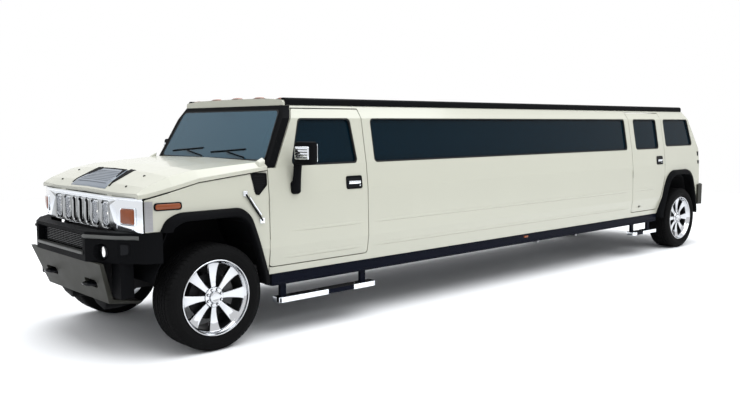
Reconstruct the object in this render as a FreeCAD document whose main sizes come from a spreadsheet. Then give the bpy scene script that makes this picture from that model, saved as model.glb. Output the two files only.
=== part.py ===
import FreeCAD, Part
import math
import os
import Sketcher

# A long, boxy stretch limousine on a ladder frame, in millimetres. It points along -Y, its left side is +X
# and it stands on z = 0, with the origin on the ground under the middle of its length and width.
# In the outlines below, every place along the vehicle is counted from the front axle, and front_axle
# moves it to the origin.

V = FreeCAD.Vector
doc = FreeCAD.newDocument("stretch_limousine")

SIZES = {
    # Whole vehicle
    "wheelbase": 7690,
    "front_overhang": 830,
    "rear_overhang": 860,
    "overrun": 60,
    "panel_gap": 8,
    "seat_gap": 0.3,
    # Section of the body side, from the sill up to the gutter: half widths and heights
    "sill_half_step": -35,
    "sill_height": 534,
    "waist_half": 985,
    "waist_height_step": 226,
    "shoulder_half_step": -7,
    "shoulder_height_step": 440,
    "belt_half_step": -30,
    "belt_height_step": 230,
    "glass_half_step": -70,
    "glass_height_step": 404,
    "gutter_half_step": -77,
    "gutter_height_step": 110,
    "wall_half_step": -95,
    "wall_glass_half_step": -65,
    "wall_gutter_half_step": -66,
    "skin": 20,
    # Rear end
    "tail_place_step": 600,
    "tail_wall": 90,
    "tail_knee_step": -30,
    "tail_top_place_step": 330,
    "tail_door_half_step": -265,
    "tail_door_foot": 896,
    "tail_hinge_radius": 10,
    "tail_hinge_length": 120,
    "tail_hinge_half_step": -220,
    "tail_hinge_inset": 25,
    "tail_top_gap": 14,
    "tail_glass_half_step": -120,
    "tail_glass_foot_step": 30,
    "tail_glass_top_step": 6,
    # Roof
    "roof_front_step": 270,
    "roof_rear_step": 310,
    "roof_side_height_step": 46,
    "roof_crown_half_step": -248,
    "roof_crown_height_step": 64,
    "roof_top_height_step": 68,
    "roof_nose": 30,
    # Side openings
    "front_door_front": 536,
    "front_door_rear_step": 1095,
    "door_foot_step": 66,
    "door_top_step": -29,
    "pillar_foot_step": 81,
    "pillar_top_step": 348,
    "pillar_front": 72,
    "front_glass_front_step": 240,
    "front_glass_front_top_step": 369,
    "front_glass_rear_step": 998,
    "side_glass_front_step": 1204,
    "side_glass_rear_step": -1412,
    "rear_door_front_step": -1305,
    "rear_door_rear_step": -440,
    "rear_glass_front_step": -1197,
    "rear_glass_rear_step": -580,
    "quarter_front_step": -379,
    "quarter_rear_step": 350,
    "quarter_rear_foot_step": 420,
    "quarter_foot_step": 26,
    "glass_round": 40,
    "door_round": 30,
    "door_back_gap": 6,
    "hinge_length": 90,
    "hinge_leaf": 10,
    "hinge_low": 740,
    "hinge_high": 1060,
    "glass_thickness": 6,
    "glass_depth": 24,
    "door_inner_step": 15,
    "door_arch_gap": 30,
    # Wheels and axles
    "tyre_radius": 425,
    "tyre_width": 300,
    "half_track_step": -115,
    "bead_radius": 303,
    "tyre_shoulder": 28,
    "tyre_sidewall": 60,
    "rim_lip": 16,
    "rim_barrel": 270,
    "rim_inset": 14,
    "rim_ramp": 40,
    "hub_radius": 82,
    "hub_cap_radius": 48,
    "hub_cap_rise": 16,
    "hub_face_step": 98,
    "spoke_back_step": 45,
    "spoke_face_step": 85,
    "spoke_hub_half": 24,
    "spoke_rim_half": 41,
    "spoke_overlap": 8,
    "disc_radius": 185,
    "disc_thickness": 22,
    "hub_back_step": -2,
    "kingpin_place_step": -150,
    "kingpin_radius": 28,
    "kingpin_low": 345,
    "kingpin_high": 505,
    "spindle_radius": 42,
    "steer_arm_length": 150,
    "steer_arm_width": 36,
    "steer_arm_low": 395,
    "steer_arm_high": 425,
    # Wheel arches
    "arch_half": 500,
    "arch_height": 627,
    "flare_width": 68,
    "flare_out_step": 45,
    "liner_radius": 535,
    "liner_wall": 8,
    "liner_inner_step": -365,
    "rear_liner_inner_step": -230,
    "liner_foot": 600,
    # Frame
    "rail_inner": 360,
    "rail_outer": 460,
    "rail_foot": 480,
    "rail_top": 600,
    "rail_front_step": 170,
    "horn_rear_step": 215,
    "horn_top_step": 100,
    "cross_width": 90,
    "cross_foot": 505,
    "floor_top": 640,
    "sill_cover_inner_step": -110,
    "sill_cover_foot_step": -104,
    "sill_cover_front_step": 29,
    "sill_cover_rear_step": -610,
    # Front end
    "fender_front_step": 270,
    "nose_half_step": -45,
    "nose_inner_step": -95,
    "taper_start_step": 530,
    "fender_foot_step": 5,
    "fender_nose_height_step": -204,
    "fender_mid_place": -118,
    "fender_mid_height_step": -98,
    "fender_rear_height_step": -30,
    "fender_inner_step": -45,
    "pillar_start_step": -66,
    "bumper_foot": 750,
    "bumper_top_step": 230,
    "bumper_flat_half_step": -490,
    "bumper_bend_half_step": -225,
    "bumper_bend_place_step": 130,
    "bumper_knee_half_step": -117,
    "bumper_knee_place_step": 225,
    "bumper_corner_half_step": -50,
    "bumper_corner_inner_step": -105,
    "bumper_wing_inner_step": -45,
    "bumper_drop_inner_step": -120,
    "bumper_drop_outer_step": 30,
    "bumper_drop_front_step": 140,
    "bumper_drop_rear_step": 245,
    "bumper_drop_foot_step": -270,
    "bumper_corner_place_step": 270,
    "bumper_wing_end_step": 390,
    "bumper_back_step": 115,
    "bumper_edge": 25,
    "intake_half_step": -45,
    "intake_foot_step": 65,
    "intake_top_step": 205,
    "intake_depth": 60,
    "fog_place_step": -133,
    "fog_height_step": 80,
    "fog_radius": 56,
    "fog_length": 25,
    "fog_recess": 66,
    "fog_back_step": 110,
    "skid_half_step": -60,
    "skid_tip_half_step": -160,
    "skid_foot": 420,
    "skid_thickness": 30,
    "skid_front_step": 20,
    "skid_tip_place_step": 130,
    "tray_half_step": -100,
    "tray_foot_step": -60,
    "tray_rear_step": 430,
    "tow_inner_step": -320,
    "tow_outer_step": -100,
    "tow_low_step": 112,
    "tow_high_step": 175,
    "grille_top_step": -4,
    "grille_face_step": 185,
    "grille_face_half_step": -270,
    "grille_corner_place_step": 255,
    "grille_side_step": -55,
    "grille_back_step": 240,
    "slot_half_step": -130,
    "slot_foot_step": 8,
    "slot_top_step": -22,
    "lamp_height_step": -117,
    "lamp_radius": 85,
    "lamp_back_step": 265,
    "lamp_face_step": 195,
    "turn_inner_step": -213,
    "turn_outer_step": -72,
    "turn_foot_step": -177,
    "turn_top_step": -67,
    "turn_depth": 20,
    "side_lamp_front_step": 343,
    "side_lamp_rear_step": 551,
    "side_lamp_foot_step": -78,
    "side_lamp_top_step": -30,
    "side_lamp_rise": 10,
    # Hood: heights of its top at four places along it
    "hood_front_step": 230,
    "hood_hinge_radius": 10,
    "hood_hinge_length": 90,
    "hood_hinge_half_step": -210,
    "hood_step_place_step": 300,
    "hood_knee_place_step": 490,
    "hood_rear_step": -16,
    "hood_deck_half_step": -300,
    "hood_side_half_step": -72,
    "hood_edge_half_step": -13,
    "hood_edge_inset": 10,
    "hood_thickness": 30,
    "hood_front_height_step": 46,
    "hood_step_height_step": 104,
    "hood_knee_height_step": 192,
    "hood_mid_height_step": 120,
    "hood_rear_height_step": 88,
    "hood_deck_fall": 8,
    # Bulkhead, windscreen and cabin
    "bulkhead_front_step": 16,
    "bulkhead_thickness": 30,
    "cowl_foot_step": -34,
    "screen_foot_half_step": -195,
    "screen_top_half_step": -93,
    "screen_foot_step": 62,
    "screen_top_step": -42,
    "dash_rear_step": 424,
    "dash_side_gap": 10,
    "dash_foot_step": -410,
    "dash_top_step": -60,
    "dash_lip_step": -250,
    "column_place": 400,
    "column_radius": 24,
    "steering_wheel_radius": 190,
    "steering_rim": 15,
    "steering_height_step": -215,
    "steering_depth_step": 554,
    # Seats and cabin furniture
    "front_seat_place": 400,
    "front_seat_half": 260,
    "front_seat_front_step": 664,
    "front_seat_rear_step": 1204,
    "front_seat_top": 900,
    "front_seat_back": 160,
    "front_seat_rake": 140,
    "front_seat_height_step": 190,
    "seat_round": 40,
    "partition_front_step": 1574,
    "partition_thickness": 40,
    "partition_glass_foot_step": -130,
    "partition_glass_top_step": -54,
    "partition_glass_half": 480,
    "lounge_front_step": 1764,
    "lounge_rear_step": -1540,
    "lounge_seat_top": 960,
    "lounge_depth": 520,
    "lounge_back": 150,
    "lounge_height_step": -40,
    "rear_bench_front_step": -560,
    "rear_bench_rear_step": -50,
    "bar_depth": 330,
    "bar_front_step": 1794,
    "bar_rear_step": -1990,
    "bar_height_step": -130,
    # Running gear
    "engine_half": 290,
    "engine_front_step": 470,
    "engine_rear": 400,
    "engine_foot": 520,
    "engine_top_step": -136,
    "gearbox_half": 130,
    "gearbox_rear": 1330,
    "gearbox_foot": 370,
    "gearbox_top": 590,
    "radiator_half_step": -105,
    "radiator_front_step": 270,
    "radiator_thickness": 80,
    "radiator_top_step": -46,
    "shaft_radius": 40,
    "axle_tube": 50,
    "diff_radius": 165,
    "diff_length": 250,
    "diff_nose": 260,
    "spring_half": 620,
    "spring_width": 70,
    "spring_depth": 24,
    "arm_span": 180,
    "arm_tip": 34,
    "arm_thickness": 30,
    "exhaust_place": 270,
    "exhaust_radius": 28,
    "exhaust_front": 620,
    "silencer_front_step": -2690,
    "silencer_rear_step": -1790,
    "silencer_radius": 95,
    "exhaust_rear_step": -640,
    "tank_outer_step": -20,
    "tank_front_step": -3390,
    "tank_rear_step": -2190,
    "tank_foot": 390,
    "tank_top": 596,
    # Outside fittings
    "step_front_step": 70,
    "step_rear_step": 1162,
    "rear_step_front_step": -1290,
    "rear_step_rear_step": -690,
    "step_inner_step": -50,
    "step_outer_step": 62,
    "step_foot": 292,
    "step_top": 330,
    "step_leg": 60,
    "step_round": 16,
    "mirror_place_step": 264,
    "mirror_foot_low_step": -230,
    "mirror_foot_high_step": -130,
    "mirror_arm": 40,
    "mirror_inner_step": 45,
    "mirror_outer_step": 245,
    "mirror_low_step": 15,
    "mirror_high_step": 210,
    "mirror_depth": 110,
    "mirror_round": 30,
    "roof_lamp_length": 60,
    "roof_lamp_width": 120,
    "roof_lamp_rise": 16,
    "roof_lamp_margin": 88,
    "roof_lamp_place_step": 314,
    "tail_lamp_half_step": -135,
    "tail_lamp_width": 90,
    "tail_lamp_low_step": -310,
    "tail_lamp_high_step": -100,
    "tail_lamp_rise": 12,
    "rear_bumper_low": 589,
    "rear_bumper_top": 880,
    "rear_bumper_wrap_step": 525,
    "rear_bumper_half_step": -285,
    "rear_bumper_bend_half_step": -65,
    "rear_bumper_bend_step": 800,
    "rear_bumper_side_step": 640,
    "rear_bumper_out_step": 30,
    "rear_bumper_wall": 25,
    "hitch_half": 40,
    "hitch_bore_half": 25.5,
    "hitch_front_step": 520,
    "hitch_rear_step": 850,
    "hitch_pin_radius": 8.1,
    "hitch_pin_place": 60,
}

# Sizes that keep their distance from a leading one: each is its leader plus its own step in the sheet
FOLLOWERS = {
    "waist_half": "sill_half shoulder_half belt_half wall_half tail_door_half half_track flare_out fender_inner "
                  "nose_half nose_inner bumper_flat_half bumper_bend_half bumper_knee_half bumper_corner_half "
                  "bumper_corner_inner bumper_wing_inner grille_side hood_edge_half mirror_inner mirror_outer "
                  "tail_lamp_half rear_bumper_half rear_bumper_bend_half rear_bumper_out",
    "belt_half": "glass_half screen_foot_half",
    "glass_half": "gutter_half wall_glass_half",
    "gutter_half": "wall_gutter_half roof_crown_half screen_top_half",
    "tail_door_half": "tail_hinge_half tail_glass_half",
    "half_track": "kingpin_place hub_face spoke_back spoke_face hub_back liner_inner rear_liner_inner",
    "liner_inner": "radiator_half",
    "sill_half": "sill_cover_inner step_inner step_outer",
    "sill_cover_inner": "tank_outer",
    "bumper_flat_half": "intake_half",
    "bumper_bend_half": "fog_place bumper_drop_inner bumper_drop_outer skid_half skid_tip_half",
    "skid_tip_half": "tow_outer tow_inner tray_half",
    "grille_side": "grille_face_half turn_inner turn_outer",
    "grille_face_half": "slot_half hood_hinge_half",
    "hood_edge_half": "hood_side_half",
    "hood_side_half": "hood_deck_half",
    "sill_height": "waist_height door_foot sill_cover_foot",
    "waist_height": "shoulder_height",
    "shoulder_height": "belt_height",
    "belt_height": "glass_height tail_knee tail_glass_foot quarter_foot screen_foot cowl_foot "
                   "fender_rear_height fender_mid_height fender_nose_height mirror_foot_low mirror_foot_high "
                   "mirror_low mirror_high dash_top dash_lip dash_foot steering_height tail_lamp_low "
                   "tail_lamp_high partition_glass_foot lounge_height front_seat_height bar_height",
    "glass_height": "gutter_height tail_glass_top partition_glass_top",
    "gutter_height": "roof_side_height roof_crown_height roof_top_height door_top screen_top",
    "fender_nose_height": "grille_top hood_front_height hood_step_height hood_knee_height side_lamp_foot "
                          "side_lamp_top radiator_top engine_top",
    "fender_mid_height": "hood_mid_height",
    "fender_rear_height": "hood_rear_height",
    "grille_top": "slot_top turn_foot turn_top lamp_height",
    "bumper_foot": "bumper_top intake_foot intake_top fog_height horn_top bumper_drop_foot",
    "bumper_top": "fender_foot slot_foot",
    "skid_foot": "tow_low tow_high tray_foot",
    "wheelbase": "tail_place tail_top_place roof_rear side_glass_rear rear_door_front rear_door_rear "
                 "rear_glass_front rear_glass_rear quarter_front quarter_rear quarter_rear_foot sill_cover_rear "
                 "lounge_rear rear_bench_front rear_bench_rear bar_rear silencer_front silencer_rear "
                 "exhaust_rear tank_front tank_rear rear_step_front rear_step_rear rear_bumper_wrap "
                 "rear_bumper_bend rear_bumper_side hitch_front hitch_rear",
    "-front_overhang": "bumper_bend_place bumper_knee_place bumper_corner_place bumper_wing_end bumper_back "
                       "bumper_drop_front bumper_drop_rear fog_back skid_front skid_tip_place tray_rear "
                       "grille_face grille_corner_place grille_back lamp_face lamp_back fender_front hood_front "
                       "hood_step_place hood_knee_place rail_front horn_rear radiator_front side_lamp_front "
                       "side_lamp_rear taper_start engine_front",
    "front_door_front": "front_door_rear pillar_foot pillar_top front_glass_front front_glass_front_top "
                        "front_glass_rear side_glass_front roof_front bulkhead_front hood_rear pillar_start "
                        "dash_rear steering_depth front_seat_front front_seat_rear partition_front lounge_front "
                        "bar_front mirror_place roof_lamp_place sill_cover_front step_front step_rear",
}


class Size:
    """A size from the sheet, or one worked out from such sizes: its value and the formula that binds it."""

    def __init__(self, value, formula):
        self.value = value
        self.formula = formula

    def __add__(self, other):
        other = as_size(other)
        return Size(self.value + other.value, f"({self.formula} + {other.formula})")

    __radd__ = __add__

    def __sub__(self, other):
        return self + as_size(other) * -1

    def __rsub__(self, other):
        return as_size(other) - self

    def __mul__(self, other):
        other = as_size(other)
        return Size(self.value * other.value, f"({self.formula} * {other.formula})")

    __rmul__ = __mul__

    def __truediv__(self, other):
        other = as_size(other)
        return Size(self.value / other.value, f"({self.formula} / {other.formula})")

    def __neg__(self):
        return self * -1


def as_size(number):
    """A plain number as a size with itself as its formula."""
    if isinstance(number, Size):
        return number
    return Size(number, f"({number})")


class Sheet:
    """The driving dimensions, one attribute for each alias of the spreadsheet."""

    def __init__(self, values):
        cells = doc.addObject("Spreadsheet::Sheet", "Sizes")
        for row, (alias, value) in enumerate(values.items(), 1):
            cells.set(f"A{row}", alias)
            cells.set(f"B{row}", str(value))
            cells.setAlias(f"B{row}", alias)
            setattr(self, alias, Size(value, f"Sizes.{alias}"))


s = Sheet(SIZES)
doc.recompute()

for leader, names in FOLLOWERS.items():
    leading = -getattr(s, leader[1:]) if leader.startswith("-") else getattr(s, leader)
    for name in names.split():
        setattr(s, name, leading + getattr(s, name + "_step"))

front_axle = (s.front_overhang - s.rear_overhang - s.wheelbase) / 2
axle_height = s.tyre_radius

PLANES = {"side": "YZ_Plane", "front": "XZ_Plane", "top": "XY_Plane"}


class Circle:
    """A round outline in a sketch."""

    def __init__(self, across, up, radius):
        self.across = as_size(across)
        self.up = as_size(up)
        self.radius = as_size(radius)


def bind(thing, **formulas):
    """Tie properties to the sheet; two underscores stand for a dot in a property's path."""
    for path, value in formulas.items():
        thing.setExpression(path.replace("__", "."), as_size(value).formula)


def move_to(thing, x, y, z):
    """Place a thing at x and z, and at y from the front axle."""
    y = as_size(y) + front_axle
    thing.Placement.Base = V(as_size(x).value, y.value, as_size(z).value)
    bind(thing, Placement__Base__x=x, Placement__Base__y=y, Placement__Base__z=z)


def add_constraint(drawing, kind, geometry, point, value):
    """A distance of one point from the sketch's axes, tied to the sheet."""
    number = drawing.addConstraint(Sketcher.Constraint(kind, -1, 1, geometry, point, value.value))
    if value.value or "Sizes" in value.formula:
        drawing.setExpression(f"Constraints[{number}]", value.formula)


def draw_circle(drawing, circle):
    centre = V(circle.across.value, circle.up.value, 0)
    index = drawing.addGeometry(Part.Circle(centre, V(0, 0, 1), circle.radius.value))
    add_constraint(drawing, "DistanceX", index, 3, circle.across)
    add_constraint(drawing, "DistanceY", index, 3, circle.up)
    number = drawing.addConstraint(Sketcher.Constraint("Radius", index, circle.radius.value))
    drawing.setExpression(f"Constraints[{number}]", circle.radius.formula)


def draw_outline(drawing, points):
    """A closed outline of (across, up) points; a third value rounds that corner."""
    first = len(drawing.Geometry)
    corners = [[as_size(value) for value in point] for point in points]
    flat = [V(corner[0].value, corner[1].value, 0) for corner in corners]
    count = len(corners)
    for i in range(count):
        drawing.addGeometry(Part.LineSegment(flat[i], flat[(i + 1) % count]))
    for i in range(count):
        drawing.addConstraint(Sketcher.Constraint("Coincident", first + i, 2, first + (i + 1) % count, 1))
    for i, corner in enumerate(corners):
        add_constraint(drawing, "DistanceX", first + i, 1, corner[0])
        add_constraint(drawing, "DistanceY", first + i, 1, corner[1])
    drawing.solve()
    for i, corner in enumerate(corners):
        if len(corner) < 3:
            continue
        before = (i - 1) % count
        reach_in = (flat[before] + flat[i]) / 2
        reach_out = (flat[(i + 1) % count] + flat[i]) / 2
        known = len(drawing.Geometry)
        drawing.fillet(first + before, first + i, reach_in, reach_out, corner[2].value, True, True)
        arc = [k for k in range(known, len(drawing.Geometry)) if "Arc" in type(drawing.Geometry[k]).__name__][0]
        number = drawing.addConstraint(Sketcher.Constraint("Radius", arc, corner[2].value))
        drawing.setExpression(f"Constraints[{number}]", corner[2].formula)


def along(plane, outline):
    """The outline with its places along the vehicle moved from the front axle to the origin."""
    if isinstance(outline, Circle):
        across = outline.across + front_axle if plane == "side" else outline.across
        up = outline.up + front_axle if plane == "top" else outline.up
        return Circle(across, up, outline.radius)
    if plane == "side":
        return [(as_size(point[0]) + front_axle, *point[1:]) for point in outline]
    if plane == "top":
        return [(point[0], as_size(point[1]) + front_axle, *point[2:]) for point in outline]
    return outline


def sketch(body, plane, start, outlines):
    """A sketch parallel to one of the body's own planes, at the place start along its normal."""
    drawing = body.newObject("Sketcher::SketchObject", "Outline")
    support = [item for item in body.Origin.OriginFeatures if item.Role == PLANES[plane]][0]
    drawing.AttachmentSupport = [(support, "")]
    drawing.MapMode = "FlatFace"
    start = as_size(start)
    offset = -(start + front_axle) if plane == "front" else start
    bind(drawing, AttachmentOffset__Base__z=offset)
    for outline in outlines:
        outline = along(plane, outline)
        if isinstance(outline, Circle):
            draw_circle(drawing, outline)
        else:
            draw_outline(drawing, outline)
    return drawing


def pad(body, plane, start, end, *outlines):
    """Add the outlines' prism from start to end; side runs along +X, front along +Y, top along +Z."""
    feature = body.newObject("PartDesign::Pad", "Pad")
    feature.Profile = sketch(body, plane, start, outlines)
    feature.Reversed = plane == "front"
    feature.Length = (as_size(end) - start).value
    bind(feature, Length=as_size(end) - start)
    return feature


def pocket(body, plane, start, end, *outlines):
    """Cut the outlines' prism from start to end out of the body."""
    feature = body.newObject("PartDesign::Pocket", "Pocket")
    feature.Profile = sketch(body, plane, start, outlines)
    feature.Reversed = plane != "front"
    feature.Length = (as_size(end) - start).value
    bind(feature, Length=as_size(end) - start)
    return feature


def prism(name, plane, start, end, *outlines):
    body = doc.addObject("PartDesign::Body", name)
    pad(body, plane, start, end, *outlines)
    return body


def turned(name, y, z, *outlines):
    """A body turned about a line along X at y and z; its outlines give x and radius."""
    body = doc.addObject("PartDesign::Body", name)
    drawing = sketch(body, "front", y, outlines)
    bind(drawing, AttachmentOffset__Base__y=z)
    feature = body.newObject("PartDesign::Revolution", "Turn")
    feature.Profile = drawing
    feature.ReferenceAxis = (drawing, ["H_Axis"])
    return body


def block(name, x, y, z):
    """A box between two places on each axis."""
    low = [as_size(pair[0]) for pair in (x, y, z)]
    high = [as_size(pair[1]) for pair in (x, y, z)]
    thing = doc.addObject("Part::Box", name)
    bind(thing, Length=high[0] - low[0], Width=high[1] - low[1], Height=high[2] - low[2])
    move_to(thing, *low)
    return thing


TURNS = {"x": (V(0, 1, 0), 90), "y": (V(1, 0, 0), -90), "z": (V(0, 0, 1), 0)}


def rod(name, axis, x, y, z, length, radius):
    """A round bar from x, y, z along an axis."""
    thing = doc.addObject("Part::Cylinder", name)
    thing.Placement.Rotation = FreeCAD.Rotation(*TURNS[axis])
    bind(thing, Height=length, Radius=radius)
    move_to(thing, x, y, z)
    return thing


def fuse(name, *things):
    result = doc.addObject("Part::MultiFuse", name)
    result.Shapes = list(things)
    result.Refine = True
    return result


def common(name, base, tool):
    result = doc.addObject("Part::Common", name)
    result.Base = base
    result.Tool = tool
    return result


def cut(name, base, *tools):
    """The base without the tools."""
    result = doc.addObject("Part::Cut", name)
    result.Base = base
    result.Tool = tools[0] if len(tools) == 1 else fuse(name + "_tools", *tools)
    return result


def mirrored(name, source):
    """The same form on the right-hand side."""
    result = doc.addObject("Part::Mirroring", name)
    result.Source = source
    result.Normal = V(1, 0, 0)
    return result


def group(name, *things):
    """Separate solids that share one node."""
    result = doc.addObject("Part::Compound", name)
    result.Links = list(things)
    return result


def moved_copy(name, source, y):
    """A copy of a thing, moved along the vehicle."""
    result = group(name, source)
    bind(result, Placement__Base__y=y)
    return result


nodes = []


def node(label, thing):
    """Make a thing one of the vehicle's pieces."""
    thing.Label = label
    nodes.append(thing)
    return thing


def pair(label, left):
    """A left piece and its mirror image as one node."""
    return node(label, group(label + "_pair", left, mirrored(label + "_right", left)))


def both_sides(label, left):
    """A left piece and its mirror image as two nodes."""
    node(label + "_left", left)
    node(label + "_right", mirrored(label + "_mirror", left))


def trapezium(half, low, top_half, high):
    """A front-view outline that is symmetrical about the middle."""
    return [(-half, low), (half, low), (top_half, high), (-top_half, high)]


def rectangle(left, right, low, high, *rounding):
    return [(left, low, *rounding), (right, low, *rounding), (right, high, *rounding), (left, high, *rounding)]


# Wheel arch outlines: shares of the arch's half length and of its height over the axle, from front to rear
FRONT_ARCH_SHARES = [(-0.88, 0.17), (-0.84, 0.72), (-0.72, 0.93), (-0.55, 1), (0.45, 1), (0.61, 0.9), (0.745, 0.6),
                     (0.9, 0.17)]
REAR_ARCH_SHARES = [(-1.06, 0.17), (-0.8, 0.7), (-0.65, 0.9), (-0.42, 1), (0.4, 1), (0.6, 0.9), (0.75, 0.6),
                    (0.88, 0.17)]


# Forms that several pieces share

def arch_outline(place, shares, grow):
    """A wheel arch seen from the side, grown for its flare; its feet run down past the sill."""
    half = s.arch_half + grow
    high = s.arch_height + grow
    points = [(half * across + place, axle_height + high * up) for across, up in shares]
    feet = s.sill_height - s.overrun
    return [(points[0][0], feet), *points, (points[-1][0], feet)]


def outer_line(inset):
    """The outside of the body side, from the sill to the gutter, moved in by inset."""
    return [(s.sill_half - inset, s.sill_height), (s.waist_half - inset, s.waist_height),
            (s.shoulder_half - inset, s.shoulder_height), (s.belt_half - inset, s.belt_height),
            (s.glass_half - inset, s.glass_height), (s.gutter_half - inset, s.gutter_height)]


def inner_line():
    """The inside of the body side, from the gutter down to the sill."""
    return [(s.wall_gutter_half, s.gutter_height), (s.wall_glass_half, s.glass_height),
            (s.wall_half, s.belt_height), (s.wall_half, s.sill_height)]


def half_section():
    """The left half of the body's section as one closed outline."""
    return [(0, s.sill_height), *outer_line(as_size(0)), (0, s.gutter_height)]


def skin_section():
    return outer_line(as_size(0)) + outer_line(s.skin)[::-1]


def lining_section():
    """A door's inner layer, a little thinner than the wall so that it clears the floor and firewall."""
    return outer_line(s.skin) + [(point[0] + s.door_back_gap, point[1]) for point in inner_line()]


def glass_section():
    return outer_line(s.glass_depth) + outer_line(s.glass_depth + s.glass_thickness)[::-1]


def front_door_outline(grow, inset):
    """The front door's shut line, grown for its opening or inset for its inner layer."""
    step = grow - inset
    return [(s.front_door_front - step, s.door_foot - step, s.door_round),
            (s.front_door_rear + step, s.door_foot - step, s.door_round),
            (s.front_door_rear + step, s.door_top + step),
            (s.pillar_top - step - s.panel_gap, s.door_top + step),
            (s.pillar_foot - step, s.belt_height - s.panel_gap + step),
            (s.front_door_front - step, s.belt_height - s.panel_gap + step)]


def rear_door_outline(grow, inset):
    """The rear door's shut line, whose rear edge follows the wheel arch flare."""
    step = grow - inset
    flare_half = s.arch_half + s.flare_width
    flare_height = s.arch_height + s.flare_width
    foot_share, _ = REAR_ARCH_SHARES[0]
    knee_share, knee_height_share = REAR_ARCH_SHARES[1]
    _, top_share = REAR_ARCH_SHARES[2]
    edge = s.wheelbase - s.door_arch_gap + step
    return [(s.rear_door_front - step, s.door_foot - step, s.door_round),
            (edge + flare_half * foot_share, s.door_foot - step),
            (edge + flare_half * knee_share, axle_height + flare_height * knee_height_share),
            (s.rear_door_rear + step, axle_height + flare_height * top_share),
            (s.rear_door_rear + step, s.door_top + step),
            (s.rear_door_front - step, s.door_top + step)]


def front_glass_outline():
    return [(s.front_glass_front, s.belt_height, s.glass_round), (s.front_glass_rear, s.belt_height, s.glass_round),
            (s.front_glass_rear - s.glass_round, s.glass_height, s.glass_round),
            (s.front_glass_front_top, s.glass_height, s.glass_round)]


def rear_glass_outline():
    return rectangle(s.rear_glass_front, s.rear_glass_rear, s.belt_height, s.glass_height, s.glass_round)


def long_glass_outline():
    return rectangle(s.side_glass_front, s.side_glass_rear, s.belt_height, s.glass_height, s.glass_round)


def quarter_glass_outline():
    return [(s.quarter_front, s.quarter_foot, s.glass_round), (s.quarter_rear_foot, s.quarter_foot, s.glass_round),
            (s.quarter_rear, s.glass_height, s.glass_round), (s.quarter_front, s.glass_height, s.glass_round)]


def nose_half_at(place):
    """Half the width of the nose, which narrows towards the front."""
    slope = (s.waist_half - s.nose_half) / (s.taper_start - s.fender_front)
    return s.waist_half - slope * (s.taper_start - place)


def nose_form(name):
    """The left half of the body's outside with its tapered nose."""
    end = s.fender_front - s.overrun
    wide = s.waist_half + s.overrun
    beside = prism(name + "_beside", "top", 0, s.gutter_height,
                   [(s.waist_half, s.taper_start), (nose_half_at(end), end), (wide, end), (wide, s.taper_start)])
    return cut(name, prism(name + "_section", "front", s.fender_front, s.tail_place, half_section()), beside)


# Frame and running gear

def make_frame():
    rail = block("Rail", (s.rail_inner, s.rail_outer), (s.rail_front, s.tail_place), (s.rail_foot, s.rail_top))
    places = [s.rail_front, s.gearbox_rear + s.cross_width, s.wheelbase / 3, s.wheelbase / 2, s.wheelbase * 2 / 3,
              s.exhaust_rear, s.tail_place - s.cross_width]
    crosses = []
    for place in places:
        crosses.append(block("Cross_member", (-s.rail_inner, s.rail_inner), (place, place + s.cross_width),
                             (s.cross_foot, s.rail_top)))
    receiver = block("Receiver", (-s.hitch_half, s.hitch_half), (s.hitch_front, s.hitch_rear),
                     (s.cross_foot - s.hitch_half - s.hitch_half, s.cross_foot))
    centre = s.cross_foot - s.hitch_half
    mouth = block("Receiver_mouth", (-s.hitch_bore_half, s.hitch_bore_half),
                  (s.hitch_front + s.hitch_half, s.hitch_rear + s.overrun),
                  (centre - s.hitch_bore_half, centre + s.hitch_bore_half))
    pin = rod("Pin_hole", "x", -s.hitch_half - s.overrun, s.hitch_rear - s.hitch_pin_place, centre,
              s.hitch_half * 2 + s.overrun * 2, s.hitch_pin_radius)
    node("hitch_receiver", cut("Hitch", receiver, mouth, pin))
    horn = block("Bumper_horn", (s.rail_inner, s.rail_outer), (s.bumper_back, s.horn_rear), (s.rail_top, s.horn_top))
    node("chassis_frame", group("Frame", rail, mirrored("Rail_right", rail), *crosses, horn,
                                mirrored("Horn_right", horn)))


def make_engine():
    motor = block("Motor", (-s.engine_half, s.engine_half), (s.engine_front, s.engine_rear),
                  (s.engine_foot, s.engine_top))
    gearbox = block("Gearbox", (-s.gearbox_half, s.gearbox_half), (s.engine_rear, s.gearbox_rear),
                    (s.gearbox_foot, s.gearbox_top))
    radiator = block("Radiator", (-s.radiator_half, s.radiator_half),
                     (s.radiator_front, s.radiator_front + s.radiator_thickness), (s.rail_top, s.radiator_top))
    node("engine_block", group("Engine_and_radiator", fuse("Engine", motor, gearbox), radiator))
    start = s.gearbox_rear
    end = s.wheelbase - s.diff_nose
    node("propshaft", rod("Propshaft", "y", 0, start, axle_height, end - start, s.shaft_radius))


def make_suspension():
    """Front wishbones that hold the kingpin between them, each on its own bracket or rail."""
    tip = s.kingpin_place + s.arm_tip
    root = s.rail_outer
    lower = prism("Lower_arm", "top", s.kingpin_low - s.seat_gap - s.arm_thickness, s.kingpin_low - s.seat_gap,
                  [(s.rail_inner, -s.arm_span), (root, -s.arm_span), (tip, -s.arm_tip, s.arm_tip / 2),
                   (tip, s.arm_tip, s.arm_tip / 2), (root, s.arm_span), (s.rail_inner, s.arm_span)])
    bracket = block("Arm_bracket", (s.rail_inner, s.rail_outer), (-s.arm_span, s.arm_span),
                    (s.kingpin_low - s.seat_gap - s.arm_thickness / 2, s.rail_foot))
    upper = prism("Upper_arm", "top", s.kingpin_high + s.seat_gap, s.kingpin_high + s.seat_gap + s.arm_thickness,
                  [(root, -s.arm_span), (tip, -s.arm_tip, s.arm_tip / 2), (tip, s.arm_tip, s.arm_tip / 2),
                   (root, s.arm_span)])
    pair("front_suspension", fuse("Arms", lower, bracket, upper))


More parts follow.
